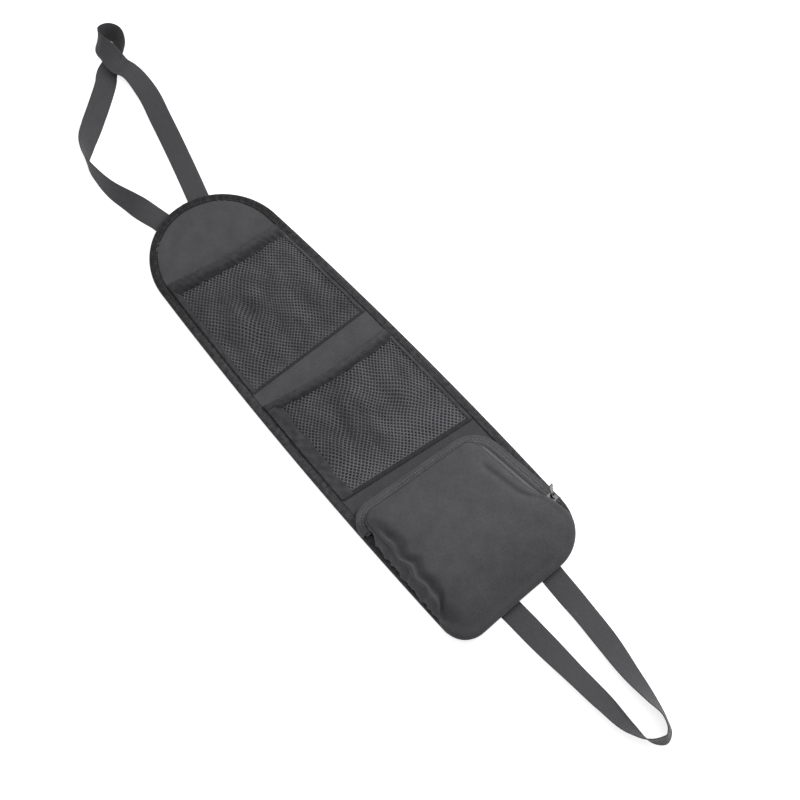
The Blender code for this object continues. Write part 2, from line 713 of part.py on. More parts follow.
def box(name, low, high, look):
    (x0, y0, z0), (x1, y1, z1) = low, high
    points = [(x, y, z) for x in (x0, x1) for y in (y0, y1) for z in (z0, z1)]
    faces = [(0, 1, 3, 2), (4, 6, 7, 5), (0, 4, 5, 1), (2, 3, 7, 6), (0, 2, 6, 4), (1, 5, 7, 3)]
    return solid(name, points, faces, look)


def combine(target, other, operation):
    """Join the other object to the target, or cut it out, and leave the other as a hidden cutter."""
    cut = target.modifiers.new(other.name, "BOOLEAN")
    cut.operation = operation
    cut.object = other
    cut.solver = "EXACT"
    other.hide_render = True
    other.display_type = "WIRE"
    other.parent = target


def make_slider(look):
    """The slider in its own frame: X across the zip, Y along it towards open, Z up from the teeth's middle."""
    half_tooth = TOOTH_ROW_THICKNESS / 2 + CLEARANCE
    cavity = TOOTH_ROW_GAP / 2 + TOOTH_ROW_WIDTH + CLEARANCE
    half = cavity + SLIDER_FLANGE
    slot = TAPE_THICKNESS / 2 + CLEARANCE
    long = SLIDER_LENGTH / 2
    top = half_tooth + SLIDER_PLATE
    profile = [
        (-half, slot),
        (-cavity, slot),
        (-cavity, half_tooth),
        (cavity, half_tooth),
        (cavity, slot),
        (half, slot),
        (half, top),
        (-half, top),
    ]
    sections = []
    for y, share in ((-long, SLIDER_NARROWING), (-long * 0.6, 1.0), (long, 1.0)):
        wide = [np.sign(x) * (abs(x) if abs(x) < half else cavity + SLIDER_FLANGE * share) for x, _ in profile]
        sections.append([(x, y, z) for x, (_, z) in zip(wide, profile)])
    slider = swept("zip_slider", sections, look)
    lower = swept("slider_lower_plate", [[(x, y, -z) for x, y, z in row] for row in sections], look)
    post_half = TOOTH_ROW_GAP / 2 - CLEARANCE
    post_end = long - SLIDER_POST_SETBACK
    bite = SLIDER_PLATE / 2
    post = box(
        "slider_post",
        (-post_half, post_end - SLIDER_POST_LENGTH, -half_tooth - bite),
        (post_half, post_end, half_tooth + bite),
        look,
    )
    bar_low = top + BAIL_OPENING
    bail = box(
        "slider_bail",
        (-BAIL_WIDTH / 2, -BAIL_LENGTH / 2, top - bite),
        (BAIL_WIDTH / 2, BAIL_LENGTH / 2, bar_low + BAIL_BAR),
        look,
    )
    opening = box(
        "slider_bail_opening",
        (-BAIL_WIDTH, BAIL_BAR - BAIL_LENGTH / 2, top),
        (BAIL_WIDTH, BAIL_LENGTH / 2 - BAIL_BAR, bar_low),
        look,
    )
    combine(bail, opening, "DIFFERENCE")
    combine(slider, post, "UNION")
    combine(slider, lower, "UNION")
    combine(slider, bail, "UNION")
    return slider, top + BAIL_OPENING / 2


def make_pull(look):
    """The pull tab in its own frame: it turns about X, and lies along +Y."""
    half = PULL_WIDTH / 2
    bar = PULL_THICKNESS / 2
    outline = [
        (-half * PULL_TIP, -bar),
        (half * PULL_TIP, -bar),
        (half, bar),
        (half, PULL_EYE_LENGTH + bar),
        (half * PULL_WAIST, PULL_EYE_LENGTH + 2.5 * bar),
        (half * PULL_WAIST, PULL_LENGTH * 0.72),
        (half, PULL_LENGTH * 0.82),
        (half * PULL_TIP, PULL_LENGTH),
    ]
    mirrored = [(-x, y) for x, y in outline[:1:-1]]
    pull = plate("zip_pull", outline + mirrored, -bar, bar, look)
    eye_half = BAIL_WIDTH / 2 + 2 * CLEARANCE
    eye = box("pull_eye", (-eye_half, bar, -2 * bar), (eye_half, PULL_EYE_LENGTH, 2 * bar), look)
    combine(pull, eye, "DIFFERENCE")
    return pull


def place_slider(metal, pull_metal):
    rest = ZIP_CLOSED_END + SLIDER_REST
    x, y = PATH.at(rest)
    out_x, out_y = PATH.outward(rest)
    turn = math.atan2(out_y, out_x)
    slider, axis_height = make_slider(metal)
    slider.location = (x, y, ZIP_HEIGHT)
    slider.rotation_euler = (0.0, 0.0, turn)
    pull = make_pull(pull_metal)
    pull.location = (x, y, ZIP_HEIGHT + axis_height)
    pull.rotation_euler = (PULL_LEAN, 0.0, turn)


# Webbing


def make_loop(name, route, end, look):
    """A webbing loop along its route; end is +1 for the arched end and -1 for the pocket end."""
    stations = []
    for x, beyond, roll, lift in route:
        stations.append((x, end * (PANEL_LENGTH / 2 + beyond), roll, lift))
    line = spline(stations, LOOP_STATION_STEP)
    roll, lift = np.radians(line[:, 2]), np.maximum(line[:, 3], 0.0)
    half, thin = WEBBING_WIDTH / 2, WEBBING_THICKNESS / 2
    height = FLOOR + lift + half * np.abs(np.sin(roll)) + thin * np.abs(np.cos(roll))
    middle = np.column_stack([line[:, :2], height])
    ahead = np.gradient(middle, axis=0)
    ahead /= np.linalg.norm(ahead, axis=1)[:, None]
    level = np.column_stack([-ahead[:, 1], ahead[:, 0], np.zeros(len(ahead))])
    across = np.cos(roll)[:, None] * level - np.sin(roll)[:, None] * np.array([0.0, 0.0, 1.0])
    across -= (across * ahead).sum(axis=1)[:, None] * ahead
    across /= np.linalg.norm(across, axis=1)[:, None]
    face = np.cross(ahead, across)
    corners = [(-half, -thin), (half, -thin), (half, thin), (-half, thin)]
    sections = np.stack([middle + across * a + face * b for a, b in corners], axis=1)
    sections[:, :, 2] = np.maximum(sections[:, :, 2], FLOOR)
    swept(name, sections, look)


def main():
    clear_scene()
    cloth = material("oxford_cloth", (0.075, 0.075, 0.080), 0.85)
    rear = material("rear_oxford_cloth", (0.060, 0.060, 0.065), 0.88)
    backing = material("stiffener_board", (0.30, 0.30, 0.30), 0.7)
    tape = material("binding_tape", (0.030, 0.030, 0.033), 0.8)
    net = material("net", (0.085, 0.085, 0.090), 0.75)
    hem = material("hem_tape", (0.035, 0.035, 0.038), 0.8)
    webbing = material("webbing", (0.055, 0.055, 0.058), 0.75)
    zip_cloth = material("zip_tape", (0.028, 0.028, 0.030), 0.8)
    coil = material("zip_coil", (0.10, 0.10, 0.105), 0.45)
    metal = material("dark_metal", (0.20, 0.20, 0.21), 0.3, 0.9)

    make_panel(cloth, backing)
    bpy.data.objects["rear_cloth"].data.materials[0] = rear
    make_binding(tape)
    upper = NetPocket(
        (UPPER_MOUTH_LEFT, UPPER_MOUTH_MIDDLE, UPPER_MOUTH_RIGHT), (UPPER_SEAM, UPPER_SEAM), UPPER_HEM_WIDTH
    )
    middle = NetPocket(
        (MIDDLE_MOUTH_LEFT, MIDDLE_MOUTH_MIDDLE, MIDDLE_MOUTH_RIGHT),
        (MIDDLE_SEAM_LEFT, MIDDLE_SEAM_RIGHT),
        MIDDLE_HEM_WIDTH,
    )
    make_net("upper_mesh", upper, net)
    make_hem("upper_mesh_hem", upper, hem)
    make_net("middle_mesh", middle, net)
    make_hem("middle_mesh_hem", middle, hem)
    make_pocket_front(cloth)
    make_gusset(cloth)
    make_zip(zip_cloth, coil, metal)
    place_slider(metal, metal)
    make_loop("headrest_strap", HEADREST_ROUTE, 1, webbing)
    make_loop("seat_strap", SEAT_ROUTE, -1, webbing)


main()
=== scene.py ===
# %% [markdown]
# # A car seat side organizer
# The real object is a long cloth panel with a rounded top. It carries two open net pockets and one zipped pocket,
# and a webbing loop leaves each end. It lies on its back on a white ground.
# The solids come from the CAD frame. Here each soft solid gets a finer surface in its place, worked out with numpy
# on a grid, and every surface gets a material made of nodes.

# %% Load the frame
import math
import bpy
import numpy as np
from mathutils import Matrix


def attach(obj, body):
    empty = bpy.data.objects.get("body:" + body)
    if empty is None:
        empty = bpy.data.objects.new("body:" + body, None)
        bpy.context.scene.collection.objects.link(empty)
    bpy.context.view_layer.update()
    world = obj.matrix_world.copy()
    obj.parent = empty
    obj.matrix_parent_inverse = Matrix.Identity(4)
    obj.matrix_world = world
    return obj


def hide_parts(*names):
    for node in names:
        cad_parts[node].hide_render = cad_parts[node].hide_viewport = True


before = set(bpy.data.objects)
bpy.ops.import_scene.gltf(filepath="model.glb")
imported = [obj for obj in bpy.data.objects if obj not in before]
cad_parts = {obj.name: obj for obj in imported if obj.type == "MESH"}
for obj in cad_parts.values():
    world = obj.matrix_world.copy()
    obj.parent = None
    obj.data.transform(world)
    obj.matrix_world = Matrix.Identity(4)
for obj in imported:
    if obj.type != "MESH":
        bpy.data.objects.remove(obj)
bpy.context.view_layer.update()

# %% [markdown]
# ## From arrays to a mesh
# A surface here is an array of points with rows and columns. A mesh could be drawn by hand, or grown with
# modifiers, but a grid has two great merits: its flat coordinates come for free, so a weave follows the cloth,
# and the whole shape is one formula. The next cell turns the numbered cells of a grid into faces.

# %% Mesh helper
BODY = "organizer"


def cells(index, flat):
    """The four corners of every cell of a grid: corner numbers, and flat coordinates for the same corners."""
    def corners(a):
        return np.stack([a[:-1, :-1], a[:-1, 1:], a[1:, 1:], a[1:, :-1]], axis=2)
    return corners(index).reshape(-1, 4), corners(flat).reshape(-1, 4, 2)


def build(name, points, faces, flat, material, slot, stands_for=()):
    """One piece from arrays. The enclosed volume, a sum of small pyramids, tells whether to turn the faces over."""
    points = np.ascontiguousarray(points.reshape(-1, 3), dtype=np.float32)
    groups = [(np.asarray(f, np.int32), np.asarray(t, np.float32)) for f, t in zip(faces, flat)]
    volume = sum(
        float(np.einsum("ij,ij->", points[f[:, 0]], np.cross(points[f[:, k]], points[f[:, k + 1]])))
        for f, _ in groups for k in range(1, f.shape[1] - 1)
    )
    if volume < 0:
        groups = [(f[:, ::-1], t[:, ::-1]) for f, t in groups]
    corner_of = np.concatenate([f.ravel() for f, _ in groups])
    sizes = np.concatenate([np.full(len(f), f.shape[1]) for f, _ in groups])
    mesh = bpy.data.meshes.new(name)
    mesh.vertices.add(len(points))
    mesh.vertices.foreach_set("co", points.ravel())
    mesh.loops.add(len(corner_of))
    mesh.loops.foreach_set("vertex_index", corner_of)
    mesh.polygons.add(len(sizes))
    mesh.polygons.foreach_set("loop_start", np.concatenate([[0], np.cumsum(sizes)[:-1]]).astype(np.int32))
    on_flat = np.concatenate([t.reshape(-1, 2) for _, t in groups])
    mesh.uv_layers.new(name="flat").data.foreach_set("uv", on_flat.ravel())
    mesh.update(calc_edges=True)
    mesh.polygons.foreach_set("use_smooth", np.ones(len(sizes), dtype=bool))
    mesh.materials.append(material)
    piece = bpy.data.objects.new(name, mesh)
    bpy.context.scene.collection.objects.link(piece)
    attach(piece, BODY)
    if stands_for:
        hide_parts(*stands_for)
    print(f"{name}: {len(points)} points, {len(sizes)} faces")
    return piece

# %% [markdown]
# ## Sheets and bars
# Cloth is thin but not flat, so a sheet has a front grid, a back grid and a wall round its rim. Tape, webbing and
# welts are a small outline carried along a path. Solidify could thicken the sheets too. Doing it here keeps the
# seams of the flat coordinates under control.

# %% Steps along a line
UP = np.array([0.0, 0.0, 1.0])


def unit(v):
    """Each vector over its own length."""
    return v / np.maximum(np.linalg.norm(v, axis=-1, keepdims=True), 1e-12)


def smooth_step(t):
    """0 below 0, 1 above 1, and 3t^2 - 2t^3 between them."""
    t = np.clip(t, 0.0, 1.0)
    return t * t * (3.0 - 2.0 * t)


def running_length(line):
    """The length from the line's start to each of its points: the sum of the steps so far."""
    return np.concatenate([[0.0], np.cumsum(np.linalg.norm(np.diff(line, axis=0), axis=1))])


def read_along(s, steps, line):
    """The point of a line at each running length s, on the straight step between two of its points."""
    return np.stack([np.interp(s, steps, axis) for axis in line.T], axis=-1)

# %% Sheets
def wrapped(grid, axis=1):
    """The grid with its first column, or first row, once more at its end, so that it closes on itself."""
    return np.concatenate([grid, np.take(grid, [0], axis=axis)], axis=axis)


def normals(grid, wrap=False):
    """Unit normals: the cross product of the steps along the columns and along the rows."""
    if wrap:
        along = np.roll(grid, -1, axis=1) - np.roll(grid, 1, axis=1)
    else:
        along = np.gradient(grid, axis=1)
    return unit(np.cross(along, np.gradient(grid, axis=0)))


def lengths(grid):
    """Flat coordinates in metres: mean running length along the columns, and along the rows."""
    across = np.linalg.norm(np.diff(grid, axis=1), axis=-1).mean(axis=0)
    along = np.linalg.norm(np.diff(grid, axis=0), axis=-1).mean(axis=1)
    u, v = np.concatenate([[0.0], np.cumsum(across)]), np.concatenate([[0.0], np.cumsum(along)])
    return np.stack(np.broadcast_arrays(u[None, :], v[:, None]), axis=-1)


def sheet(name, front, thickness, material, slot, **more):
    """A closed sheet: the front grid, the same grid moved back along its normals, and walls between their rims."""
    back = front - normals(front) * thickness
    count = front[..., 0].size
    index, flat = np.arange(count).reshape(front.shape[:2]), lengths(front)
    faces, places = cells(index, flat)
    faces, places = [faces, faces[:, ::-1] + count], [places, places[:, ::-1]]
    for rim in (np.s_[0], np.s_[-1, ::-1], np.s_[:, -1], np.s_[::-1, 0]):
        ring, place = index[rim], flat[rim]
        faces.append(np.column_stack([ring[1:], ring[:-1], ring[:-1] + count, ring[1:] + count]))
        places.append(np.stack([place[1:], place[:-1], place[:-1], place[1:]], axis=1))
    return build(name, np.stack([front, back]), faces, places, material, slot, **more)

# %% Bars
def end_caps(rows, columns):
    """Quads that close the first and the last ring of a tube, each from one side of its outline to the other."""
    k = np.arange(columns // 2 - 1)
    cap = np.column_stack([k, k + 1, columns - 2 - k, columns - 1 - k])
    return [cap[:, ::-1], cap + (rows - 1) * columns]


def tube(name, points, material, slot, closed=False, **more):
    """One ring of points at each station, joined to a skin, with a flat cap at each open end."""
    rows, columns = points.shape[:2]
    index, ring = wrapped(np.arange(rows * columns).reshape(rows, columns)), wrapped(points)
    if closed:
        index, ring = wrapped(index, axis=0), wrapped(ring, axis=0)
    skin, places = cells(index, lengths(ring))
    caps = [] if closed else end_caps(rows, columns)
    bare = [np.zeros((len(cap), 4, 2)) for cap in caps]
    return build(name, points, [skin, *caps], [places, *bare], material, slot, **more)


def bar(name, centre, side, up, outline, material, slot, **more):
    """An outline carried along a path: point = centre + side * x + up * y."""
    outline = np.broadcast_to(outline, (len(centre), *np.shape(outline)[-2:]))
    up = np.broadcast_to(up, centre.shape)
    points = centre[:, None] + side[:, None] * outline[..., :1] + up[:, None] * outline[..., 1:]
    return tube(name, points, material, slot, **more)


def oval(wide, high, count=12):
    """An ellipse by its half axes: x = wide * cos(t), y = high * sin(t)."""
    t = 2 * math.pi * np.arange(count) / count
    return np.column_stack([np.cos(t) * wide, np.sin(t) * high])

# %% Beads, teeth and stitches
def bead(rings=5, around=6):
    """A small closed bead of unit half axes, for stitches and teeth: rings of points that shrink to its two tips."""
    turn = 2 * math.pi * np.arange(around) / around
    lean = np.linspace(-0.96, 0.96, rings)[:, None] + 0.0 * turn
    wide = (1.0 - np.abs(lean) ** 2.6) ** 0.5
    points = np.stack([lean, wide * np.cos(turn), wide * np.sin(turn)], axis=-1)
    index = wrapped(np.arange(rings * around).reshape(rings, around))
    skin = cells(index, np.zeros((*index.shape, 2)))[0]
    return points.reshape(-1, 3), np.concatenate([skin, *end_caps(rings, around)])


def repeated_beads(name, at, axes, material, slot, **more):
    """Many copies of one bead: point = place + its three axes, each times the bead's own numbers."""
    template, template_faces = bead()
    points = at[:, None] + np.einsum("tk,nkj->ntj", template, axes)
    faces = (template_faces[None] + np.arange(len(at))[:, None, None] * len(template)).reshape(-1, 4)
    flat = np.repeat(at[:, None, :2], template_faces.size, axis=1).reshape(-1, 4, 2)
    return build(name, points, [faces], [flat], material, slot, **more)


def stitches(name, line, up, length, pitch, thick, material):
    """A row of stitches: beads at even steps along the line, lying along it, half sunk into the cloth."""
    steps = running_length(line)
    at = np.arange(pitch / 2, steps[-1], pitch)
    place = read_along(at, steps, line)
    ahead = unit(read_along(at + 1e-4, steps, line) - place)
    across = unit(np.cross(up, ahead))
    axes = np.stack([ahead * length / 2, across * thick, np.cross(ahead, across) * thick], axis=1)
    return repeated_beads(name, place, axes, material, "hem_tape")

# %% [markdown]
# ## Cloth finishes
# All of it is charcoal, and the pieces differ in weave and depth of colour. A picture of cloth would be quick, but
# it has one size only and smears at folds. Two sine waves, one for each direction of thread, give a plain weave at
# its true size, and two stretched noises give each thread its own tone.

# %% Material helper
class Nodes:
    """A short way to add nodes to a material and to join them."""

    def __init__(self, name, roughness, specular, sheen=0.0, metallic=0.0):
        self.material = bpy.data.materials.new(name)
        self.material.use_nodes = True
        self.tree = self.material.node_tree
        self.shader = self.tree.nodes["Principled BSDF"]
        self.shader.inputs["Roughness"].default_value = roughness
        self.shader.inputs["Specular IOR Level"].default_value = specular
        self.shader.inputs["Sheen Weight"].default_value = sheen
        self.shader.inputs["Metallic"].default_value = metallic

    def add(self, kind, **settings):
        node = self.tree.nodes.new(kind)
        for key, value in settings.items():
            setattr(node, key, value)
        return node

    def put(self, socket, value):
        if isinstance(value, bpy.types.NodeSocket):
            self.tree.links.new(value, socket)
        else:
            socket.default_value = value

    def math(self, operation, a, b=0.0, c=0.0):
        node = self.add("ShaderNodeMath", operation=operation)
        for socket, value in zip(node.inputs, (a, b, c)):
            self.put(socket, value)
        return node.outputs[0]

    def axes(self, source):
        split = self.add("ShaderNodeSeparateXYZ")
        self.tree.links.new(self.add("ShaderNodeTexCoord").outputs[source], split.inputs[0])
        return split.outputs

    def wave(self, axis, pitch):
        """0 to 1, by the sine of an axis, once in each pitch."""
        turns = self.math("MULTIPLY", axis, 2 * math.pi / pitch)
        return self.math("MULTIPLY_ADD", self.math("SINE", turns), 0.5, 0.5)

    def step(self, axis, start, stop):
        """0 before start, 1 after stop, with a soft rise between them."""
        node = self.add("ShaderNodeMapRange", interpolation_type="SMOOTHSTEP")
        for socket, value in zip(node.inputs, (axis, start, stop, 0.0, 1.0)):
            self.put(socket, value)
        return node.outputs[0]

    def noise(self, source, stretch, detail=2.0):
        """Noise whose grain has the stated size in metres along each axis."""
        place = self.add("ShaderNodeMapping")
        self.tree.links.new(self.add("ShaderNodeTexCoord").outputs[source], place.inputs["Vector"])
        place.inputs["Scale"].default_value = [1.0 / s for s in stretch]
        grain = self.add("ShaderNodeTexNoise")
        grain.inputs["Scale"].default_value = 1.0
        grain.inputs["Detail"].default_value = detail
        self.tree.links.new(place.outputs[0], grain.inputs["Vector"])
        return grain.outputs["Fac"]

    def clamp(self, value, top=1.0):
        return self.math("MAXIMUM", self.math("MINIMUM", value, top), 0.0)

    def blend(self, factor, low, high):
        """The piece's own colour, from low at 0 to high at 1."""
        mix = self.add("ShaderNodeMix", data_type="RGBA")
        self.put(mix.inputs["Factor"], factor)
        mix.inputs[6].default_value = (*low, 1.0)
        mix.inputs[7].default_value = (*high, 1.0)
        self.tree.links.new(mix.outputs[2], self.shader.inputs["Base Color"])

    def bump(self, height, depth):
        node = self.add("ShaderNodeBump")
        node.inputs["Strength"].default_value = 1.0
        node.inputs["Distance"].default_value = depth
        self.put(node.inputs["Height"], height)
        self.tree.links.new(node.outputs[0], self.shader.inputs["Normal"])


def grey(level, blue=1.07):
    """A grey of the given brightness. Charcoal cloth has a little more blue, and bare metal has none."""
    return (level, level, level * blue)


def weighted(nodes, *parts):
    """The weighted sum of some factors, given as pairs of factor and weight."""
    total = nodes.math("MULTIPLY", parts[0][0], parts[0][1])
    for factor, weight in parts[1:]:
        total = nodes.math("ADD", total, nodes.math("MULTIPLY", factor, weight))
    return total


WEAVE_DEPTH, STREAK_LENGTH, NO_CHANGE = 0.00016, 0.006, 0.05


def woven(name, level, pitch=0.0009, spread=0.30, cloud_size=0.035, cloudy=0.85, light_and_shade_bands=(), shade_along_panel=None):
    """Plain weave: the two threads' waves multiplied, over streaks along each thread. Light and shade bands (start,
    stop, weight) paint light and shade across the piece. Shade along the panel (start, stop, weight) paints shade
    along it."""
    n = Nodes(name, 0.8, 0.25, sheen=0.10)
    x, y = n.axes("UV")[:2]
    over = n.math("MULTIPLY", n.wave(x, 2 * pitch), n.wave(y, 2 * pitch))
    streak_x = n.noise("UV", (STREAK_LENGTH, pitch, NO_CHANGE))
    streak_y = n.noise("UV", (pitch, STREAK_LENGTH, NO_CHANGE))
    cloud = n.noise("UV", (cloud_size, cloud_size, cloud_size), detail=3.0)
    tone = weighted(n, (over, 0.15), (streak_x, 0.35), (streak_y, 0.35), (cloud, cloudy))
    steep = n.math("MULTIPLY_ADD", tone, 1.8, -0.19 - 0.9 * cloudy)
    if shade_along_panel:
        steep = n.math("MULTIPLY_ADD", n.step(n.axes("Object")[1], *shade_along_panel[:2]), shade_along_panel[2], steep)
    for start, stop, weight in light_and_shade_bands:
        steep = n.math("MULTIPLY_ADD", n.step(x, start, stop), weight, steep)
    n.blend(n.clamp(steep), grey(level * (1 - spread)), grey(level * (1 + spread)))
    n.bump(weighted(n, (over, 0.7), (streak_x, 0.5), (streak_y, 0.5)), WEAVE_DEPTH)
    return n.material

# %% Cloth materials
# Painted shade: the cloth below the lower net is darker along the panel, for the shade that the net and the pocket
# cast on it.
front_look = woven("charcoal_oxford", 0.080, cloud_size=0.020, cloudy=0.5, shade_along_panel=(-0.090, -0.112, -0.45))
rear_look = woven("rear_oxford", 0.052)
# Painted shade: the pocket's front is darker towards its bottom, where the light falls off.
pocket_look = woven(
    "pocket_oxford", 0.080, spread=0.36, cloud_size=0.016, cloudy=0.35, shade_along_panel=(-0.205, -0.290, -0.40),
)
gusset_look = woven("gusset_oxford", 0.084, cloudy=0.5)
# Painted light and shade across each hem's rolled band: darker towards its lower edge, over the width given with each
# hem, and lighter past a thin strip at its upper edge.
upper_hem_look, middle_hem_look = (
    woven(name, level, spread=0.6, cloud_size=0.007, light_and_shade_bands=[(shaded_width / 4, shaded_width, -0.7), (0.0, 0.003, 0.25)])
    for name, level, shaded_width in (("upper_hem_cloth", 0.036, 0.016), ("middle_hem_cloth", 0.040, 0.012))
)
# The dark foot seam tape is also painted shade: it stands for the shade below each net's foot.
seam_and_shade_look = woven("seam_tape_and_shade_cloth", 0.026, spread=0.45, cloud_size=0.006)
side_look = woven("net_edge_cloth", 0.055, spread=0.45, cloud_size=0.010)
# Painted light and shade on the binding: a dark strip at its inner edge is painted shade in the groove beside the
# cloth, a pale strip over its outer edge is a painted highlight, and it is painted darker round the arch.
binding_look = woven(
    "binding_cloth", 0.045, pitch=0.0010, spread=0.75, cloud_size=0.005, shade_along_panel=(0.10, 0.26, -0.45),
    light_and_shade_bands=[(-0.0010, 0.0022, 0.9), (0.0, 0.0001, -0.9), (0.0092, 0.0110, 0.8), (0.0118, 0.0130, -0.8)],
)
zip_cloth_look = woven("zip_tape_cloth", 0.085, pitch=0.0008)
# Painted shade: the seam ridge is darker along the pocket's top, for the shade under the seam there.
ridge_look = woven("seam_ridge_cloth", 0.072, pitch=0.0008, shade_along_panel=(-0.152, -0.142, -1.2))


def ribbed(name, level):
    """Webbing: fine ribs across the width and a herringbone of slanted threads."""
    n = Nodes(name, 0.7, 0.3, sheen=0.1)
    x, y = n.axes("UV")[:2]
    zigzag = n.math("PINGPONG", x, 0.0028)
    slant = n.wave(n.math("ADD", y, zigzag), 0.0016)
    ribs = n.wave(y, 0.0012)
    grain = n.noise("UV", (0.0012, 0.012, NO_CHANGE))
    tone = weighted(n, (slant, 0.35), (ribs, 0.2), (grain, 0.45))
    n.blend(tone, grey(level * 0.55), grey(level * 1.45))
    n.bump(weighted(n, (slant, 0.6), (ribs, 0.4)), 0.00022)
    return n.material


def yarn(name, level, roughness=0.8, cloud=0.0):
    """Knitted or sewn thread: a fine grain with a slanted twist. Cloud is the share of two slow changes of tone that
    are
    painted light and shade: broad patches of painted fold shade, and painted light that makes the net paler towards
    the pocket end."""
    n = Nodes(name, roughness, 0.25, sheen=0.08)
    x, y = n.axes("Object")[:2]
    twist = n.wave(n.math("ADD", x, y), 0.0007)
    grain = n.noise("Object", (0.0015, 0.0015, 0.0015))
    # Painted light and shade: broad patches stand for the shade of the net's folds, and slack paints the net paler
    # towards its lower end.
    broad = n.math("SUBTRACT", n.noise("Object", (0.016, 0.030, NO_CHANGE)), 0.5)
    slack = n.math("SUBTRACT", 1.0, n.step(n.axes("Object")[1], -0.12, -0.03))
    tone = weighted(n, (twist, 0.30), (grain, 0.70), (broad, 1.8 * cloud), (slack, 0.75 * cloud))
    spread = 0.3 + 0.25 * cloud
    n.blend(n.clamp(tone, top=1.3), grey(level * (1 - spread)), grey(level * (1 + spread)))
    n.bump(twist, 0.0001)
    return n.material


def plated(name, level, roughness):
    """Dark plated metal: streaks of fine wear change its tone and, by a small bump, its surface."""
    n = Nodes(name, roughness, 0.5, metallic=1.0)
    wear = n.noise("Object", (0.0008, 0.004, 0.0008), detail=4.0)
    n.blend(wear, grey(level * 0.7, 1.0), grey(level * 1.3, 1.0))
    n.bump(wear, 0.00004)
    return n.material


webbing_look = ribbed("ribbed_webbing", 0.062)
net_look = yarn("net_yarn", 0.102, cloud=0.8)
thread_look = yarn("sewing_thread", 0.13)
dark_thread_look = yarn("dark_thread", 0.020)
tooth_look = yarn("coil_tooth_nylon", 0.19, roughness=0.35)
metal_look = plated("dark_plated_metal", 0.13, 0.18)
stop_look = yarn("stop_nylon", 0.085, roughness=0.5)
board_look = yarn("stiffener_fibre", 0.30)

# %% [markdown]
# ## The panel's outline
# The panel is a bowed rectangle under a half ellipse, with two unlike bottom corners: the pocket pulls the left one
# sharper. A curve object could trace it, but a formula lets every other piece ask for the width at its own height.

# %% Outline
PANEL_LENGTH = 0.585
TOP, BOTTOM = PANEL_LENGTH / 2, -PANEL_LENGTH / 2
ARCH_LENGTH, ARCH_POWER = 0.0770, 2.09
WIDEST_HALF, WIDEST_Y, SIDE_BOW = 0.0920, -0.160, 0.0907
CORNER_RIGHT, CORNER_LEFT = 0.0500, 0.0260
ARCH_START = TOP - ARCH_LENGTH
CLEARANCE = 0.0003
FRONT_TOP, BINDING_TOP, GROUND = 0.0028, 0.0036, -0.0023
BINDING_WIDTH, PANEL_CLOTH = 0.010, 0.0004


def side_line(y):
    """The long sides' bow: the widest half width, less the bow times the square of the way from the widest place."""
    return WIDEST_HALF - SIDE_BOW * (y - WIDEST_Y) ** 2


def half_width(y):
    """Half of the width: a gentle bow times the superellipse factor (1 - share^p)^(1/p) above the arch's start."""
    share = np.clip((np.asarray(y, float) - ARCH_START) / ARCH_LENGTH, 0.0, 1.0)
    return side_line(y) * (1.0 - share**ARCH_POWER) ** (1.0 / ARCH_POWER)


def rounded(before, corner, after, radius, count):
    """Points on the arc that rounds a corner, from the side of before to the side of after."""
    before, corner, after = (np.asarray(p, float) for p in (before, corner, after))
    back, onward = unit(before - corner), unit(after - corner)
    half_angle = math.acos(float(np.clip(back @ onward, -1.0, 1.0))) / 2
    centre = corner + unit(back + onward) * radius / math.sin(half_angle)
    first = corner + back * radius / math.tan(half_angle) - centre
    angles = math.atan2(first[1], first[0]) + np.linspace(0.0, math.pi - 2 * half_angle, count)
    return centre + radius * np.column_stack([np.cos(angles), np.sin(angles)])


def half_outline(radius):
    """One side of the outline, from the bottom corner's arc up to the arch's top."""
    above = (float(half_width(BOTTOM + radius)), BOTTOM + radius)
    arc = rounded((0.0, BOTTOM), (float(half_width(BOTTOM)), BOTTOM), above, radius, 40)
    side_y = np.linspace(arc[-1, 1], ARCH_START, 120)[1:]
    turn = np.radians(np.linspace(0.0, 90.0, 120))[1:]
    arch_y = ARCH_START + ARCH_LENGTH * np.sin(turn) ** (2.0 / ARCH_POWER)
    arch_x = side_line(arch_y) * np.cos(turn).clip(0.0) ** (2.0 / ARCH_POWER)
    return np.vstack([arc, np.column_stack([half_width(side_y), side_y]), np.column_stack([arch_x, arch_y])])


outline = np.vstack([[(0.0, BOTTOM)], half_outline(CORNER_RIGHT), half_outline(CORNER_LEFT)[-2::-1] * (-1.0, 1.0)])
outline_ring = wrapped(outline, axis=0)
outline_steps = running_length(outline_ring)
print(f"round the edge: {outline_steps[-1]:.3f} m")


def edge_stations(count):
    """Evenly spaced places round the edge, with the outward direction at each."""
    s = np.arange(count) * outline_steps[-1] / count
    place = read_along(s, outline_steps, outline_ring)
    ahead = unit(np.roll(place, -2, axis=0) - np.roll(place, 2, axis=0))
    return s, place, np.column_stack([ahead[:, 1], -ahead[:, 0]])


def flat_half(y, radius):
    """Half of the width with its bottom corner rounded: the side, or the corner's circle below its centre."""
    drop = np.clip(BOTTOM + radius - y, 0.0, radius)
    return half_width(y) - radius + np.sqrt(radius**2 - drop**2)

# %% [markdown]
# ## The panel's two cloths
# On the real object these are cut flat and lie over a stiffener, slightly puffed between their seams. They could
# stay flat plates, since hardly a millimetre is at stake, but light that grazes dead flat cloth looks like card.
# So the front follows a low sum of waves that fades at the rim, and the rear stays nearly flat.

# %% Panel cloths
def panel_grid(inset, rows, columns):
    """Rows up the panel and columns across it: x runs from the left edge to the right edge at each height."""
    y = np.linspace(BOTTOM + inset, TOP - inset, rows)[:, None]
    u = np.linspace(0.0, 1.0, columns)[None, :]
    left, right = inset - flat_half(y, CORNER_LEFT), flat_half(y, CORNER_RIGHT) - inset
    return left + (right - left) * u, y + 0.0 * u, u


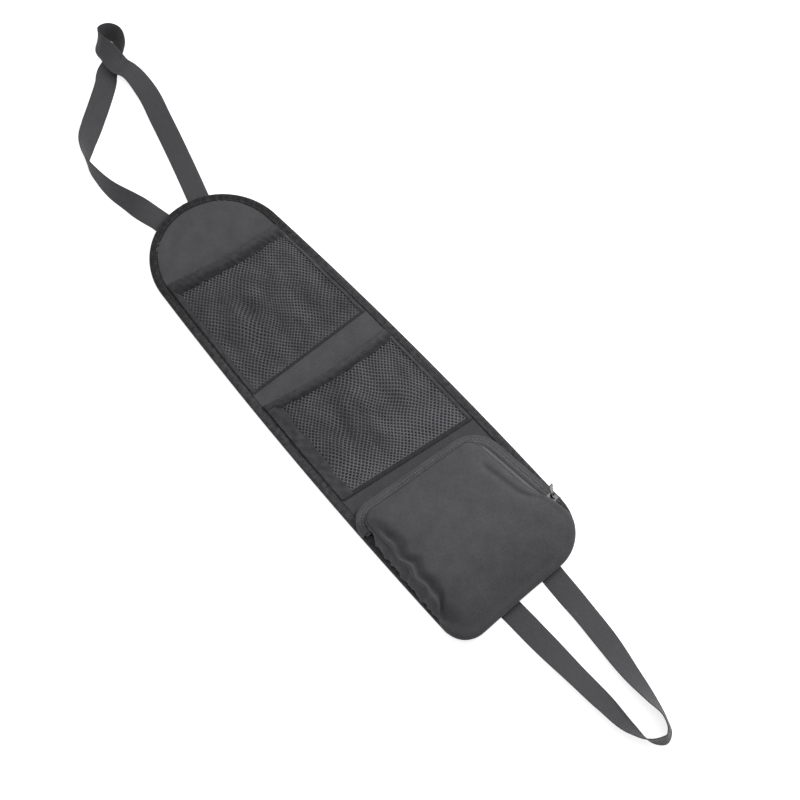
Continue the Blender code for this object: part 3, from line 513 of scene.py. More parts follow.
def ripple(x, y, size):
    """A calm sum of three slanted waves, about -1 to 1, whose mean wavelength is size."""
    k = 2 * math.pi / size
    return (
        0.5 * np.sin(k * (0.83 * x + 0.56 * y) + 0.4)
        + 0.3 * np.sin(k * (1.37 * y - 0.71 * x) + 2.1)
        + 0.2 * np.sin(k * (1.93 * x + 1.21 * y) + 4.4)
    )


px, py, pu = panel_grid(0.0015, 300, 90)
rim_fade = smooth_step(np.minimum(pu, 1.0 - pu) / 0.16) * smooth_step((TOP - 0.010 - py) / 0.02)
open_part = smooth_step((py - 0.215) / 0.02)
puff = 0.0001 * ripple(px, py, 0.05) + open_part * rim_fade * (0.0011 + 0.0004 * ripple(px, py, 0.045))
front = np.stack([px, py, FRONT_TOP + puff], axis=-1)
sheet("front_cloth_surface", front, PANEL_CLOTH, front_look, "oxford_cloth", stands_for=["front_cloth"])
rear = np.stack([px, py, 0.0 * px], axis=-1)[:, ::-1] + 0.00002 * UP * ripple(px, py, 0.03)[..., None]
sheet("rear_cloth_surface", rear, PANEL_CLOTH, rear_look, "rear_oxford_cloth", stands_for=["rear_cloth"])

# %% [markdown]
# ## The binding
# A tape is folded round the whole edge and sewn through. Its upper side stands a little proud, dips along the
# stitches, and never runs quite straight. A bevelled curve could follow the edge, but it has one section all the
# way. Here each station has its own section, so the tape can pucker. The puckers go up rather than down, because
# the cloth lies close under the tape.

# %% Binding
BINDING_SECTION = np.array([
    (0.0100, 0.0033), (0.0094, 0.0037), (0.0085, 0.0037), (0.0076, 0.0035), (0.0066, 0.0038), (0.0052, 0.0041),
    (0.0036, 0.0042), (0.0020, 0.0040), (0.0008, 0.0034), (0.0001, 0.0024), (0.0000, 0.0013), (0.0002, 0.0002),
    (0.0009, -0.0006), (0.0024, -0.0008), (0.0060, -0.0008), (0.0096, -0.0008), (0.0100, -0.0006), (0.0096, -0.0004),
    (0.0060, -0.0003), (0.0028, -0.0002), (0.0014, 0.0003), (0.0008, 0.0011), (0.0008, 0.0020), (0.0016, 0.0030),
    (0.0040, 0.0032), (0.0080, 0.0031),
])
BINDING_STITCH_INSET, PUCKER_STEP, DEEPEST_PUCKER = 0.0076, 0.0085, 0.0002

s, place, out = edge_stations(1100)
level = np.column_stack([place, np.zeros(len(s))])
outward = np.column_stack([out, np.zeros(len(s))])
pucker = 0.00032 * np.sin(2 * math.pi * s / PUCKER_STEP + 1.6 * np.sin(s * 61.0))
pucker = np.maximum(pucker + 0.0004 * np.sin(s * 93.0) * np.sin(s * 37.0 + 1.0), -DEEPEST_PUCKER)
wander = 0.00035 * np.sin(s * 41.0) * np.sin(s * 67.0 + 2.0)
section = np.repeat(BINDING_SECTION[None], len(s), axis=0)
top_side = smooth_step((section[..., 1] - 0.0030) / 0.0006)
section[..., 1] += pucker[:, None] * top_side
section[..., 0] = wander[:, None] * smooth_step((section[..., 0] - 0.005) / 0.004) - section[..., 0]
bar(
    "binding_tape_ring", level, outward, UP, section, binding_look, "binding_tape",
    closed=True, stands_for=["edge_binding"],
)
stitch_line = level - outward * BINDING_STITCH_INSET
stitches("binding_stitches", stitch_line + UP * 0.00355, UP, 0.0026, 0.0038, 0.00022, thread_look)
stitches("binding_stitches_rear", stitch_line - UP * 0.00082, -UP, 0.0026, 0.0038, 0.0002, thread_look)

# %% [markdown]
# ## The net pockets
# The net is knitted yarn with small diamond gaps, sewn down at its foot and sides and drawn together at its mouth
# by a folded hem, so it bellies and folds. A see-through pattern on a plain sheet would be cheap, but from the side
# it would look like print. Here every gap is real: a lattice of rounded eight-sided holes laid on the net's surface.
# The lattice itself is bent too, since slack knitting never keeps its rows straight.

# %% Net surface
NET_THICKNESS, NET_BULGE, PUCKER, HEM_CLOTH = 0.0006, 0.012, 0.0011, 0.0005
NET_PITCH, NET_HOLE, STRAND_ROUND, FULL_BELLY, TOP_ROW = 0.0036, 0.60, 0.00035, 0.85, 0.975
RIGHT_STRIP, HEM_REACH_SHARE, STITCH_SHARE = 0.0045, 0.6, 0.86
UPPER = {
    "mouth": (0.0725, 0.0915, 0.0893), "seam": (0.2368, 0.2368), "hem": 0.0167, "gathers": 21.0, "phase": 1.0,
    "left_strip": 0.0055, "droop": 0.04, "foot": 0.0015,
}
# The middle net's foot seam is drawn wider than the upper one's, so that its dark tape also stands for painted shade
# below the net's foot.
MIDDLE = {
    "mouth": (0.2547, 0.2723, 0.2678), "seam": (0.3900, 0.4075), "hem": 0.0122, "gathers": 17.0, "phase": 2.6,
    "left_strip": 0.0150, "droop": 0.22, "foot": 0.0026,
}


def net_depth(pocket):
    """From the middle of the mouth down to the seam at the foot."""
    return sum(pocket["seam"]) / 2 - pocket["mouth"][1]


def net_height(pocket, u, v):
    """The height on the panel: a straight seam at v = 0, a sagging mouth at v = 1, and even rows between."""
    left, middle, right = (TOP - down for down in pocket["mouth"])
    mouth = middle + u * (right - left) / 2 + u**2 * ((left + right) / 2 - middle)
    low_left, low_right = (TOP - down for down in pocket["seam"])
    seam = low_left + (low_right - low_left) * (u + 1) / 2
    return seam + (mouth - seam) * v


def net_point(pocket, u, v, fine=1.0):
    """Belly, folds and gathers: a flat sheet raised by a bulge that grows to the mouth, plus waves across it.
    Fine is the share of the small waves: slack folds, pulls from the left seam, and strain between the seams."""
    y = net_height(pocket, u, v)
    edge = half_width(y)
    slope = (half_width(y + 1e-4) - half_width(y - 1e-4)) / 2e-4
    inner = edge - BINDING_WIDTH * np.sqrt(1.0 + slope**2)
    x = u * (inner - 0.0006)
    belly = np.clip(1.0 - np.abs(u) ** 2.4, 0.0, 1.0)
    rise = smooth_step(v / FULL_BELLY) ** 0.8
    swell = np.sin(math.pi * np.clip(v / FULL_BELLY, 0.0, 1.0))
    folds = np.cos(9.0 * u + 3.0 * v) * swell
    z = FRONT_TOP + CLEARANCE + NET_THICKNESS / 2 + (2 * CLEARANCE + HEM_CLOTH) * smooth_step(v / 0.7)
    z = z + belly * (NET_BULGE * rise + PUCKER * folds)
    mouth_near = np.exp(-(1.0 - v) * net_depth(pocket) / 0.020)
    gather = np.sin(pocket["gathers"] * (u + 0.08 * np.sin(5.0 * u)) + 5.0 * (1.0 - v))
    slack = np.sin(6.5 * u + 8.0 * v + pocket["phase"]) * np.sin(3.0 * u - 7.5 * v + 0.5)
    pulls = np.sin(15.0 * u - 9.0 * v + pocket["phase"]) * np.exp(-(((u + 0.50) / 0.40) ** 2))
    strain = np.sin(11.0 * u + 13.0 * v + 2.0 * pocket["phase"] + 1.5 * np.sin(4.0 * u))
    waves = 0.0036 * slack + 0.0019 * pulls + 0.0010 * strain
    z = z + fine * belly**0.7 * (0.0012 * mouth_near * gather + swell * smooth_step(v / 0.35) * waves)
    return np.stack(np.broadcast_arrays(x, y, z), axis=-1)


def on_net(pocket, u, v, off, fine=1.0):
    """A point lifted off the net's surface along its normal, which comes from two small steps."""
    step = 1e-3
    across = net_point(pocket, u + step, v, fine) - net_point(pocket, u - step, v, fine)
    up = net_point(pocket, u, v + step, fine) - net_point(pocket, u, v - step, fine)
    return net_point(pocket, u, v, fine) + unit(np.cross(across, up)) * np.asarray(off)[..., None]

# %% Net lattice
def lattice(columns, rows, hole):
    """A diamond lattice: cells where column plus row is odd. Each gives eight rim points and eight round the hole."""
    i, j = (a.ravel() for a in np.meshgrid(np.arange(1, columns), np.arange(1, rows), indexing="ij"))
    keep = (i + j) % 2 == 1
    centre = np.column_stack([i[keep], j[keep]]).astype(float)
    rim = np.array([(1, 0), (0.5, 0.5), (0, 1), (-0.5, 0.5), (-1, 0), (-0.5, -0.5), (0, -1), (0.5, -0.5)])
    inner = rim * np.where(np.arange(8) % 2 == 0, hole, hole * 1.12)[:, None]
    rim_points = centre[:, None] + rim
    shared, number = np.unique(np.round(rim_points.reshape(-1, 2) * 2).astype(int), axis=0, return_inverse=True)
    return shared / 2.0, number.reshape(-1, 8), centre[:, None] + inner


def make_net(name, pocket, node):
    """Front and back of every strand, with the strands' middles raised a little, and the walls of every hole. An
    edge that only one cell has lies on the net's rim, so it gets a wall too."""
    wide = 2 * float(half_width(net_height(pocket, 0.0, 0.5)))
    columns = 2 * int(wide / NET_PITCH / math.sqrt(2))
    rows = 2 * int(net_depth(pocket) / NET_PITCH / math.sqrt(2))
    shared, number, holes = lattice(columns, rows, NET_HOLE)
    grid = np.concatenate([shared, holes.reshape(-1, 2)])
    u, v = 2.0 * grid[:, 0] / columns - 1.0, TOP_ROW * grid[:, 1] / rows
    inside = (1.0 - u**2) * np.sin(math.pi * v.clip(0.0, 1.0))
    bend_u = 0.030 * np.sin(3.0 * u + 5.0 * v + pocket["phase"]) + 0.010 * np.sin(9.0 * u - 7.0 * v)
    bend_v = 0.030 * np.sin(4.0 * u - 3.0 * v) + 0.012 * np.sin(8.0 * u + 9.0 * v + pocket["phase"])
    u, v = u + inside * bend_u, v + inside * bend_v
    raised = np.concatenate([np.full(len(shared), STRAND_ROUND), np.full(len(holes) * 8, 0.0001)])
    points = np.concatenate([on_net(pocket, u, v, raised), on_net(pocket, u, v, -raised)])
    count, onward = len(grid), np.roll(np.arange(8), -1)
    ring = len(shared) + np.arange(number.size).reshape(-1, 8)
    strands = np.stack([number, number[:, onward], ring[:, onward], ring], axis=2).reshape(-1, 4)
    walls = np.stack([ring, ring[:, onward], ring[:, onward] + count, ring + count], axis=2).reshape(-1, 4)
    edges = np.stack([number, number[:, onward]], axis=2).reshape(-1, 2)
    places, times = np.unique(np.sort(edges, axis=1), axis=0, return_index=True, return_counts=True)[1:]
    start, stop = edges[places[times == 1]].T
    rim = np.column_stack([stop, start, start + count, stop + count])
    faces = np.concatenate([strands, strands[:, ::-1] + count, walls, rim])
    build(name, points, [faces], [points[:, :2][faces]], net_look, "net", stands_for=[node])


make_net("upper_net", UPPER, "upper_mesh")
make_net("middle_net", MIDDLE, "middle_mesh")

# %% [markdown]
# ## Hems, edge strips and seams
# The hem is soft dark cloth folded over the net's mouth. Its lower edge bites into the gathers, so it wavers. Plain
# strips cover the net's cut edges beside the binding, and a turned seam holds its foot. A bar with one section would
# float over the folds. So each piece asks the net's own surface for its place, and follows every bulge.

# %% Hems and strips
STRIP_LIFT, STRIP_CLOTH = 0.0012, 0.0004


def make_hem(name, pocket, node, look):
    """A rounded band: a flattened superellipse across the hem's width, laid along the mouth. Its lower edge wavers,
    droops to one side, and its face is creased by the gathers."""
    t = np.linspace(0.0, 2 * math.pi, 29)[:-1][None, :]
    u = np.linspace(-1.0, 1.0, 260)[:, None]
    reach, gathers = pocket["hem"] / net_depth(pocket), pocket["gathers"]
    waver = 0.07 * np.sin(gathers * 1.3 * u + 1.0) + 0.06 * np.sin(gathers * 2.3 * u) + pocket["droop"] * u
    c, n = np.cos(t), np.sin(t)
    along = np.sign(c) * np.abs(c) ** 0.45
    v = 1.0 - reach / 2 + reach / 2 * along * np.where(along < 0, 1.0 + waver, 1.0)
    lower = smooth_step((0.4 - along) / 1.2)
    crease = 0.00035 * (0.35 + lower) * np.sin(gathers * (2.3 * u + 0.12 * along) + 2.0 * np.sin(9.0 * u))
    off = np.sign(n) * np.abs(n) ** 0.8 * (0.0013 + 0.0003 * smooth_step(along)) + crease * np.where(n > 0, 1.0, 0.0)
    tube(name, on_net(pocket, u + 0 * t, v, off, fine=0.25), look, "hem_tape", stands_for=[node])


def make_edge_strip(name, pocket, side, width):
    """A plain strip over the net's cut edge, from its foot to the hem, crumpled where the net pulls on it. The
    crumples go up rather than down, so the strip stays over the net."""
    v = np.linspace(0.0, 1.0 - pocket["hem"] / net_depth(pocket) * HEM_REACH_SHARE, 150)[:, None]
    share = width / half_width(net_height(pocket, side * 1.0, v))
    t = np.linspace(0.0, 1.0, 17)[None, :]
    t = t if side > 0 else 1.0 - t
    waver = 1.0 + 0.12 * np.sin(19.0 * v + 1.0) * np.sin(7.0 * v)
    u = side * (1.0 - share * waver * (1.0 - t))
    waves = np.sin(31.0 * v + 2.5 * t) * np.sin(12.0 * v + 0.5) + 0.5 * np.sin(67.0 * v - 3.0 * t)
    crumples = np.maximum(0.09 * width * np.sin(math.pi * t) * waves, -0.0003)
    sheet(name, on_net(pocket, u, v + 0 * u, STRIP_LIFT + crumples), STRIP_CLOTH, side_look, "hem_tape")


def net_line(pocket, v, off, fine):
    """A line across the net at one height v, lifted off its surface."""
    u = np.linspace(-0.985, 0.985, 260)
    return on_net(pocket, u, np.full(len(u), v), np.full(len(u), off), fine)


for label, pocket, look in (("upper", UPPER, upper_hem_look), ("middle", MIDDLE, middle_hem_look)):
    make_hem(f"{label}_hem", pocket, f"{label}_mesh_hem", look)
    make_edge_strip(f"{label}_net_edge_left", pocket, -1, pocket["left_strip"])
    make_edge_strip(f"{label}_net_edge_right", pocket, 1, RIGHT_STRIP)
    foot = net_line(pocket, 0.004, 0.0002, fine=0.0)
    beside_foot = unit(np.cross(unit(np.gradient(foot, axis=0)), UP))
    bar(f"{label}_foot_seam", foot, beside_foot, UP, oval(pocket["foot"], 0.0009), seam_and_shade_look, "hem_tape")
    sewn_at = 1.0 - STITCH_SHARE * pocket["hem"] / net_depth(pocket)
    hem_stitch_line = net_line(pocket, sewn_at, 0.0012, fine=0.25)
    stitches(f"{label}_hem_stitches", hem_stitch_line, UP, 0.0022, 0.0034, 0.0002, dark_thread_look)

# %% [markdown]
# ## The zipped pocket
# Its front is one piece of cloth that lies nearly flat in the middle and turns down all round; the side band under
# it is smooth on the right and crumpled on the left, and the bottom edge wraps over the binding. A cloth simulation
# would find such a shape by itself, but never the same folds as the real one. So the rim is a closed path with an
# inset and a height at each place, and the front is drawn inwards from it.

# %% Pocket path
FOOT_HEIGHT = BINDING_TOP + CLEARANCE
POCKET_HEIGHT, POCKET_CLOTH, GUSSET_CLOTH = 0.0305, 0.0010, 0.0008
SEAM_RIGHT, SEAM_LEFT = FRONT_TOP + 0.0240, FRONT_TOP + 0.0170
SEAM_INSET_RIGHT, SEAM_INSET_TOP, SEAM_INSET_LEFT = 0.0160, 0.0080, 0.0050
SEAM_INSET_BOTTOM, SEAM_INSET_ZIP_END = 0.0005, 0.0055
SEAM_RISE_ZIP_END, SEAM_FALL_RIGHT, SEAM_FALL_LEFT, SEAM_CLIMB_RIGHT = 0.0085, 0.026, 0.024, 0.035
CRUMPLE_LENGTH, CRUMPLE_DEPTH, CRUMPLE_BULGE, GUSSET_BULGE = 0.027, 0.0018, 0.0035, 0.0010
BULGE_BOTTOM, BULGE_CORNER, DOME_POWER = 0.0055, 0.0075, 5.0
low, low_half = BOTTOM + 0.0015, float(half_width(BOTTOM)) - 0.0015
top_right, top_left = TOP - 0.4242, TOP - 0.4133
CORNERS = [
    (low_half, low, 0.0440), (float(half_width(top_right)) - 0.0196, top_right, 0.030),
    (0.0073 - float(half_width(top_left)), top_left, 0.018), (-low_half, low, 0.0240),
]
ARC_POINTS = 25
arcs = [rounded(CORNERS[k - 1][:2], c[:2], CORNERS[(k + 1) % 4][:2], c[2], ARC_POINTS) for k, c in enumerate(CORNERS)]
path_line = np.vstack([[(0.0, low)], *arcs, [(0.0, low)]])
path_steps = running_length(path_line)
PATH_LENGTH = path_steps[-1]
arc_start, arc_end = path_steps[1 + ARC_POINTS * np.arange(4)], path_steps[ARC_POINTS * np.arange(1, 5)]
RIGHT_FOOT, TOP_START, LEFT_HEAD = arc_end[:3]
RIGHT_HEAD, TOP_END, LEFT_FOOT = arc_start[1:]
print(f"round the pocket: {PATH_LENGTH:.3f} m")


def path_at(s):
    """The place at a distance round the pocket, which starts again after one turn."""
    return read_along(np.mod(s, PATH_LENGTH), path_steps, path_line)


def path_out(s):
    """The outward direction, a right angle from the way along the path, eased over a few millimetres."""
    ahead = unit(path_at(s + 0.003) - path_at(s - 0.003))
    return np.stack([ahead[..., 1], -ahead[..., 0]], axis=-1)


def beside(s, out, up):
    """A place beside the path: so far out from it, and so high above the panel."""
    flat = path_at(s) + path_out(s) * np.asarray(out)[..., None]
    return np.concatenate([flat, np.broadcast_to(up, flat.shape[:-1])[..., None]], axis=-1)


def crumple(s):
    """The left side's folds: a wave that swells towards the pocket's bottom."""
    share = (s - LEFT_HEAD) / (LEFT_FOOT - LEFT_HEAD)
    wave = np.sin(2 * math.pi * (s - LEFT_HEAD) / CRUMPLE_LENGTH)
    return smooth_step(share / 0.5) * smooth_step((0.98 - share) / 0.25) * wave

# %% Pocket seam
SEAM_KEYS = np.array([
    (0.0, SEAM_INSET_BOTTOM, FOOT_HEIGHT), (RIGHT_FOOT - SEAM_FALL_RIGHT, SEAM_INSET_BOTTOM, FOOT_HEIGHT),
    (RIGHT_FOOT, SEAM_INSET_ZIP_END, FOOT_HEIGHT + SEAM_RISE_ZIP_END),
    (RIGHT_FOOT + SEAM_CLIMB_RIGHT, SEAM_INSET_RIGHT, SEAM_RIGHT), (RIGHT_HEAD, SEAM_INSET_RIGHT, SEAM_RIGHT),
    (TOP_START, SEAM_INSET_TOP, SEAM_RIGHT), (TOP_END, SEAM_INSET_TOP, SEAM_LEFT),
    (LEFT_HEAD, SEAM_INSET_LEFT, SEAM_LEFT), (LEFT_FOOT - SEAM_FALL_LEFT, SEAM_INSET_LEFT, SEAM_LEFT),
    (LEFT_FOOT, SEAM_INSET_BOTTOM, FOOT_HEIGHT), (PATH_LENGTH, SEAM_INSET_BOTTOM, FOOT_HEIGHT),
])


def along_keys(s, value):
    """A value that eases from each key to the next, by the keys' distances along the path."""
    at = SEAM_KEYS[:, 0]
    i = np.clip(np.searchsorted(at, s, side="right") - 1, 0, len(at) - 2)
    return value[i] + (value[i + 1] - value[i]) * smooth_step((s - at[i]) / (at[i + 1] - at[i]))


def seam_inset(s):
    """How far inside the path the front and the side band meet."""
    return along_keys(s, SEAM_KEYS[:, 1]) + CRUMPLE_DEPTH * crumple(s)


def seam_height(s):
    """How high above the panel's rear face they meet."""
    return along_keys(s, SEAM_KEYS[:, 2]) + CRUMPLE_DEPTH * crumple(s + 0.3 * CRUMPLE_LENGTH)


print(f"seam between {SEAM_KEYS[:, 2].min():.4f} and {SEAM_KEYS[:, 2].max():.4f} m high")

# %% Pocket front
CROWN, CROWN_SLACK, RIM_POINTS = FRONT_TOP + POCKET_HEIGHT, 0.0008, 560
LEFT_VALLEY, BOTTOM_SLUMP, RIGHT_CREASE, WALL_HEIGHT = 0.0062, 0.0062, 0.0026, 0.0170
rim_s = np.arange(RIM_POINTS) * PATH_LENGTH / RIM_POINTS
rim_xy = path_at(rim_s) - path_out(rim_s) * seam_inset(rim_s)[:, None]
rim_z = seam_height(rim_s)
middle_xy = rim_xy.mean(axis=0)
low_wall = np.clip(1.0 - (rim_z - FOOT_HEIGHT) / WALL_HEIGHT, 0.0, 1.0)
corner_share = smooth_step((rim_s - LEFT_FOOT) / SEAM_FALL_LEFT)
corner_share = corner_share * smooth_step((PATH_LENGTH - rim_s) / (PATH_LENGTH - LEFT_FOOT))
wall_bulge = (BULGE_BOTTOM + (BULGE_CORNER - BULGE_BOTTOM) * corner_share) * low_wall


def bump_at(share, place, width):
    """A smooth bump of height 1: e to the minus square of the distance from its place, over its width."""
    return np.exp(-(((share - place) / width) ** 2))


def front_hollows(share, x, y):
    """What the slack cloth lacks of the dome: a wandering valley and creases on the left, a slump at the bottom, a
    long crease beside the zip, and calm dents all over."""
    fade = smooth_step((1.0 - share) / 0.12) * smooth_step(share / 0.2)
    left_side = smooth_step((-x - 0.010) / 0.07)
    depth = -0.0008 * fade * left_side * np.sin(2 * math.pi * (y - 0.35 * x) / 0.031 + 1.0)
    on_left = smooth_step((rim_s - LEFT_HEAD + 0.01) / 0.03) * smooth_step((LEFT_FOOT + 0.02 - rim_s) / 0.03)
    wander = 0.020 * np.sin(2 * math.pi * (rim_s - LEFT_HEAD) / 0.038 + 0.6)
    depth = depth + LEFT_VALLEY * on_left * bump_at(share, 0.895 + wander, 0.058)
    depth = depth + BOTTOM_SLUMP * smooth_step((BOTTOM + 0.090 - y) / 0.080) * fade
    down_right = (RIGHT_HEAD - rim_s) / (RIGHT_HEAD - RIGHT_FOOT)
    on_right = smooth_step((down_right + 0.12) / 0.2) * smooth_step((1.0 - down_right) / 0.3)
    depth = depth + RIGHT_CREASE * on_right * bump_at(share, 0.80 + 0.08 * down_right, 0.055)
    return depth - 0.0010 * fade * ripple(x, y, 0.075)


def front_point(share):
    """Height eases from the rim to the crown by (1 - share^5)^0.5, and low walls swell outwards below it."""
    share = np.asarray(share)[:, None]
    lift = (1.0 - share**DOME_POWER) ** 0.5
    swell = wall_bulge * 2.6 * lift**0.5 * (1.0 - lift)
    flat = middle_xy + (rim_xy - middle_xy) * share[..., None] + path_out(rim_s) * swell[..., None]
    height = rim_z + (CROWN - CROWN_SLACK - rim_z) * lift - front_hollows(share, flat[..., 0], flat[..., 1])
    return np.concatenate([flat, height[..., None]], axis=-1)


def dome_piece(name, grid, thickness, material, slot, **more):
    """A closed shell from rings that shrink to a centre point; the centre's triangles close both of its faces."""
    under = grid - normals(grid, wrap=True) * thickness
    rows, columns = grid.shape[:2]
    half, tip = rows * columns, grid[-1].mean(axis=0)
    points = np.concatenate([grid.reshape(-1, 3), under.reshape(-1, 3), [tip, tip - thickness * UP]])
    index = wrapped(np.arange(half).reshape(rows, columns))
    skin = cells(index, np.zeros((*index.shape, 2)))[0]
    rim = np.column_stack([index[0, 1:], index[0, :-1], index[0, :-1] + half, index[0, 1:] + half])
    quads = np.concatenate([skin, skin[:, ::-1] + half, rim])
    near, far = index[-1, :-1], index[-1, 1:]
    fan = np.column_stack([near, far, np.full(columns, 2 * half)])
    fan_under = np.column_stack([far + half, near + half, np.full(columns, 2 * half + 1)])
    tris = np.concatenate([fan, fan_under])
    place = points[:, :2]
    build(name, points, [quads, tris], [place[quads], place[tris]], material, slot, **more)


shares = np.concatenate([np.linspace(0.03, 0.80, 40), 1.0 - 0.2 * np.linspace(1.0, 0.0, 46)[1:] ** 2])
dome = front_point(shares)[::-1]
dome_piece("zip_pocket_front", dome, POCKET_CLOTH, pocket_look, "oxford_cloth", stands_for=["pocket_front"])

# %% [markdown]
# ## Seam and side band
# The front and the side band are sewn together inside out, and their turned edges make a firm ridge round the
# pocket. The band below it stands on the zip. It is smooth where the pocket is full and crushed on the left. Its
# height and lean come from the same path, so that the ridge always sits where the two cloths meet.

# %% Side band
ZIP_HEIGHT, ZIP_RUN_ON = 0.0090, 0.004
TOOTH_ROW_GAP, TOOTH_ROW_WIDTH, TOOTH_ROW_THICKNESS = 0.0010, 0.0022, 0.0016
TAPE_THICKNESS, TAPE_REACH, TAPE_BEND, TAPE_EDGE_MARGIN = 0.0005, 0.0062, 0.0010, 0.0010
STOP_LENGTH = 0.0020
GUSSET_TAPE_OVERLAP, GUSSET_FADE, GUSSET_RUN_ON, GUSSET_STOP_SHORT = 0.0058, 0.016, 0.018, 0.004
ZIP_START, ZIP_END = RIGHT_FOOT, LEFT_HEAD + ZIP_RUN_ON
GUSSET_ON_TAPE = ZIP_HEIGHT + TAPE_THICKNESS / 2 + CLEARANCE

band_s = np.linspace(RIGHT_FOOT - GUSSET_RUN_ON, LEFT_FOOT - GUSSET_STOP_SHORT, 620)


def band_point(s, share):
    """The foot stands on the zip's tape, the head under the seam; between them the cloth bellies and creases."""
    on_zip = smooth_step((s - ZIP_START + STOP_LENGTH) / GUSSET_FADE + 1.0)
    on_zip = on_zip * smooth_step((ZIP_END + STOP_LENGTH - s) / GUSSET_FADE + 1.0)
    foot_out, foot_up = -GUSSET_TAPE_OVERLAP * on_zip, FOOT_HEIGHT + (GUSSET_ON_TAPE - FOOT_HEIGHT) * on_zip
    head_out, head_up = -seam_inset(s), seam_height(s) - CLEARANCE
    left = smooth_step((s - TOP_END) / (LEFT_HEAD + CRUMPLE_LENGTH - TOP_END))
    left = left * smooth_step((LEFT_FOOT - s) / SEAM_FALL_LEFT)
    belly = GUSSET_BULGE + (CRUMPLE_BULGE - GUSSET_BULGE) * left
    creases = CRUMPLE_DEPTH * crumple(s) * np.sin(2 * math.pi * share)
    fade = np.sin(math.pi * share)
    wrinkles = left * fade * (
        0.0009 * np.sin(2 * math.pi * (s / 0.0145 + 0.6 * share) + 1.7)
        + 0.0006 * np.sin(2 * math.pi * (s / 0.0083 - 0.9 * share))
    )
    calm = (1.0 - left) * fade * 0.0004 * np.sin(2 * math.pi * s / 0.034 + 2.0 * share)
    out = foot_out + (head_out - foot_out) * share + fade * belly + creases + wrinkles + calm
    return beside(s + 0.0 * share, out, foot_up + (head_up - foot_up) * share)


band = band_point(band_s[None, :], np.linspace(0.0, 1.0, 30)[:, None])
sheet("zip_pocket_side_band", band, GUSSET_CLOTH, gusset_look, "oxford_cloth", stands_for=["pocket_gusset"])

ridge = beside(band_s, 0.0004 - seam_inset(band_s), seam_height(band_s))
ridge_ahead = unit(np.gradient(ridge, axis=0))
ridge_side = unit(np.cross(ridge_ahead, UP))
ridge_up = np.cross(ridge_side, ridge_ahead)
bar("zip_pocket_seam_ridge", ridge, ridge_side, ridge_up, oval(0.0010, 0.0008), ridge_look, "oxford_cloth")

# %% [markdown]
# ## Zip, slider and pull
# Two tapes carry two rows of nylon coil that mesh tooth by tooth. The rows could be a pattern on a bar, but from
# near they are what makes it a zip, so every tooth is there, as one small bead repeated with numpy. The slider and
# the pull are hard metal and the stops hard nylon; they stay as the CAD made them, with plated metal and nylon as
# their looks.

# %% Zip tapes
ZIP_STATIONS = 300
zip_s = np.linspace(ZIP_START, ZIP_END, ZIP_STATIONS)
zip_line = path_at(zip_s)
zip_centre = beside(zip_s, np.zeros(ZIP_STATIONS), 0.0)
zip_out = np.column_stack([path_out(zip_s), np.zeros(ZIP_STATIONS)])
near, far = TOOTH_ROW_GAP / 2, TOOTH_ROW_GAP / 2 + TOOTH_ROW_WIDTH
tape_start = far + CLEARANCE
tape_low, tape_high = ZIP_HEIGHT - TAPE_THICKNESS / 2, ZIP_HEIGHT + TAPE_THICKNESS / 2
inner_reach = TAPE_REACH + GUSSET_CLOTH
inner_tape = np.array([
    (-near, tape_low), (-near, tape_high - 0.0001), (-far * 0.5, tape_high), (-tape_start, tape_high),
    (-inner_reach, tape_high), (-inner_reach, tape_low), (-tape_start, tape_low), (-far * 0.5, tape_low),
])
bar("zip_tape_inner", zip_centre, zip_out, UP, inner_tape, zip_cloth_look, "zip_tape", stands_for=["zip_tape_front"])


def room_at(points):
    """How far the panel's edge is from a place on it, straight across the panel."""
    return half_width(points[:, 1]) - np.abs(points[:, 0])


reach = np.minimum(TAPE_REACH, np.maximum(room_at(zip_line) - TAPE_EDGE_MARGIN, tape_start + 2 * TAPE_BEND))
on_binding = room_at(zip_line + path_out(zip_s) * reach[:, None]) < BINDING_WIDTH + TAPE_EDGE_MARGIN
foot_low = np.where(on_binding, FOOT_HEIGHT, FRONT_TOP + CLEARANCE)
wall = reach - TAPE_THICKNESS
outer_tape = np.stack([
    np.stack(np.broadcast_arrays(out, up, reach)[:2], axis=-1) for out, up in (
        (near, tape_high), (tape_start, tape_high), (reach - TAPE_BEND, tape_high),
        (reach - 0.3 * TAPE_BEND, tape_high - 0.3 * TAPE_BEND), (reach, tape_high - TAPE_BEND), (reach, foot_low),
        (wall, foot_low), (wall, tape_low - TAPE_BEND), (wall - TAPE_BEND + TAPE_THICKNESS / 2, tape_low),
        (near, tape_low),
    )
], axis=1)
bar("zip_tape_outer", zip_centre, zip_out, UP, outer_tape, zip_cloth_look, "zip_tape", stands_for=["zip_tape_rear"])

# %% Zip teeth and stitches
TOOTH_PITCH, TOOTH_INSET = 0.0016, 0.0004
for side, row, shift in ((1.0, "rear", 0.0), (-1.0, "front", 0.5)):
    at = np.arange(ZIP_START + TOOTH_INSET + shift * TOOTH_PITCH, ZIP_END - TOOTH_INSET, TOOTH_PITCH)
    out = np.column_stack([path_out(at), np.zeros(len(at))])
    ahead = np.cross(UP, out)
    centre = beside(at, np.full(len(at), side * (far - TOOTH_INSET) / 2), ZIP_HEIGHT)
    tall = np.broadcast_to(TOOTH_ROW_THICKNESS / 2 * UP, out.shape)
    axes = np.stack([out * (far + TOOTH_INSET) / 2, ahead * TOOTH_PITCH * 0.34, tall], axis=1)
    name = f"zip_teeth_{row}"
    repeated_beads(f"{name}_row", centre, axes, tooth_look, "zip_coil", stands_for=[name])

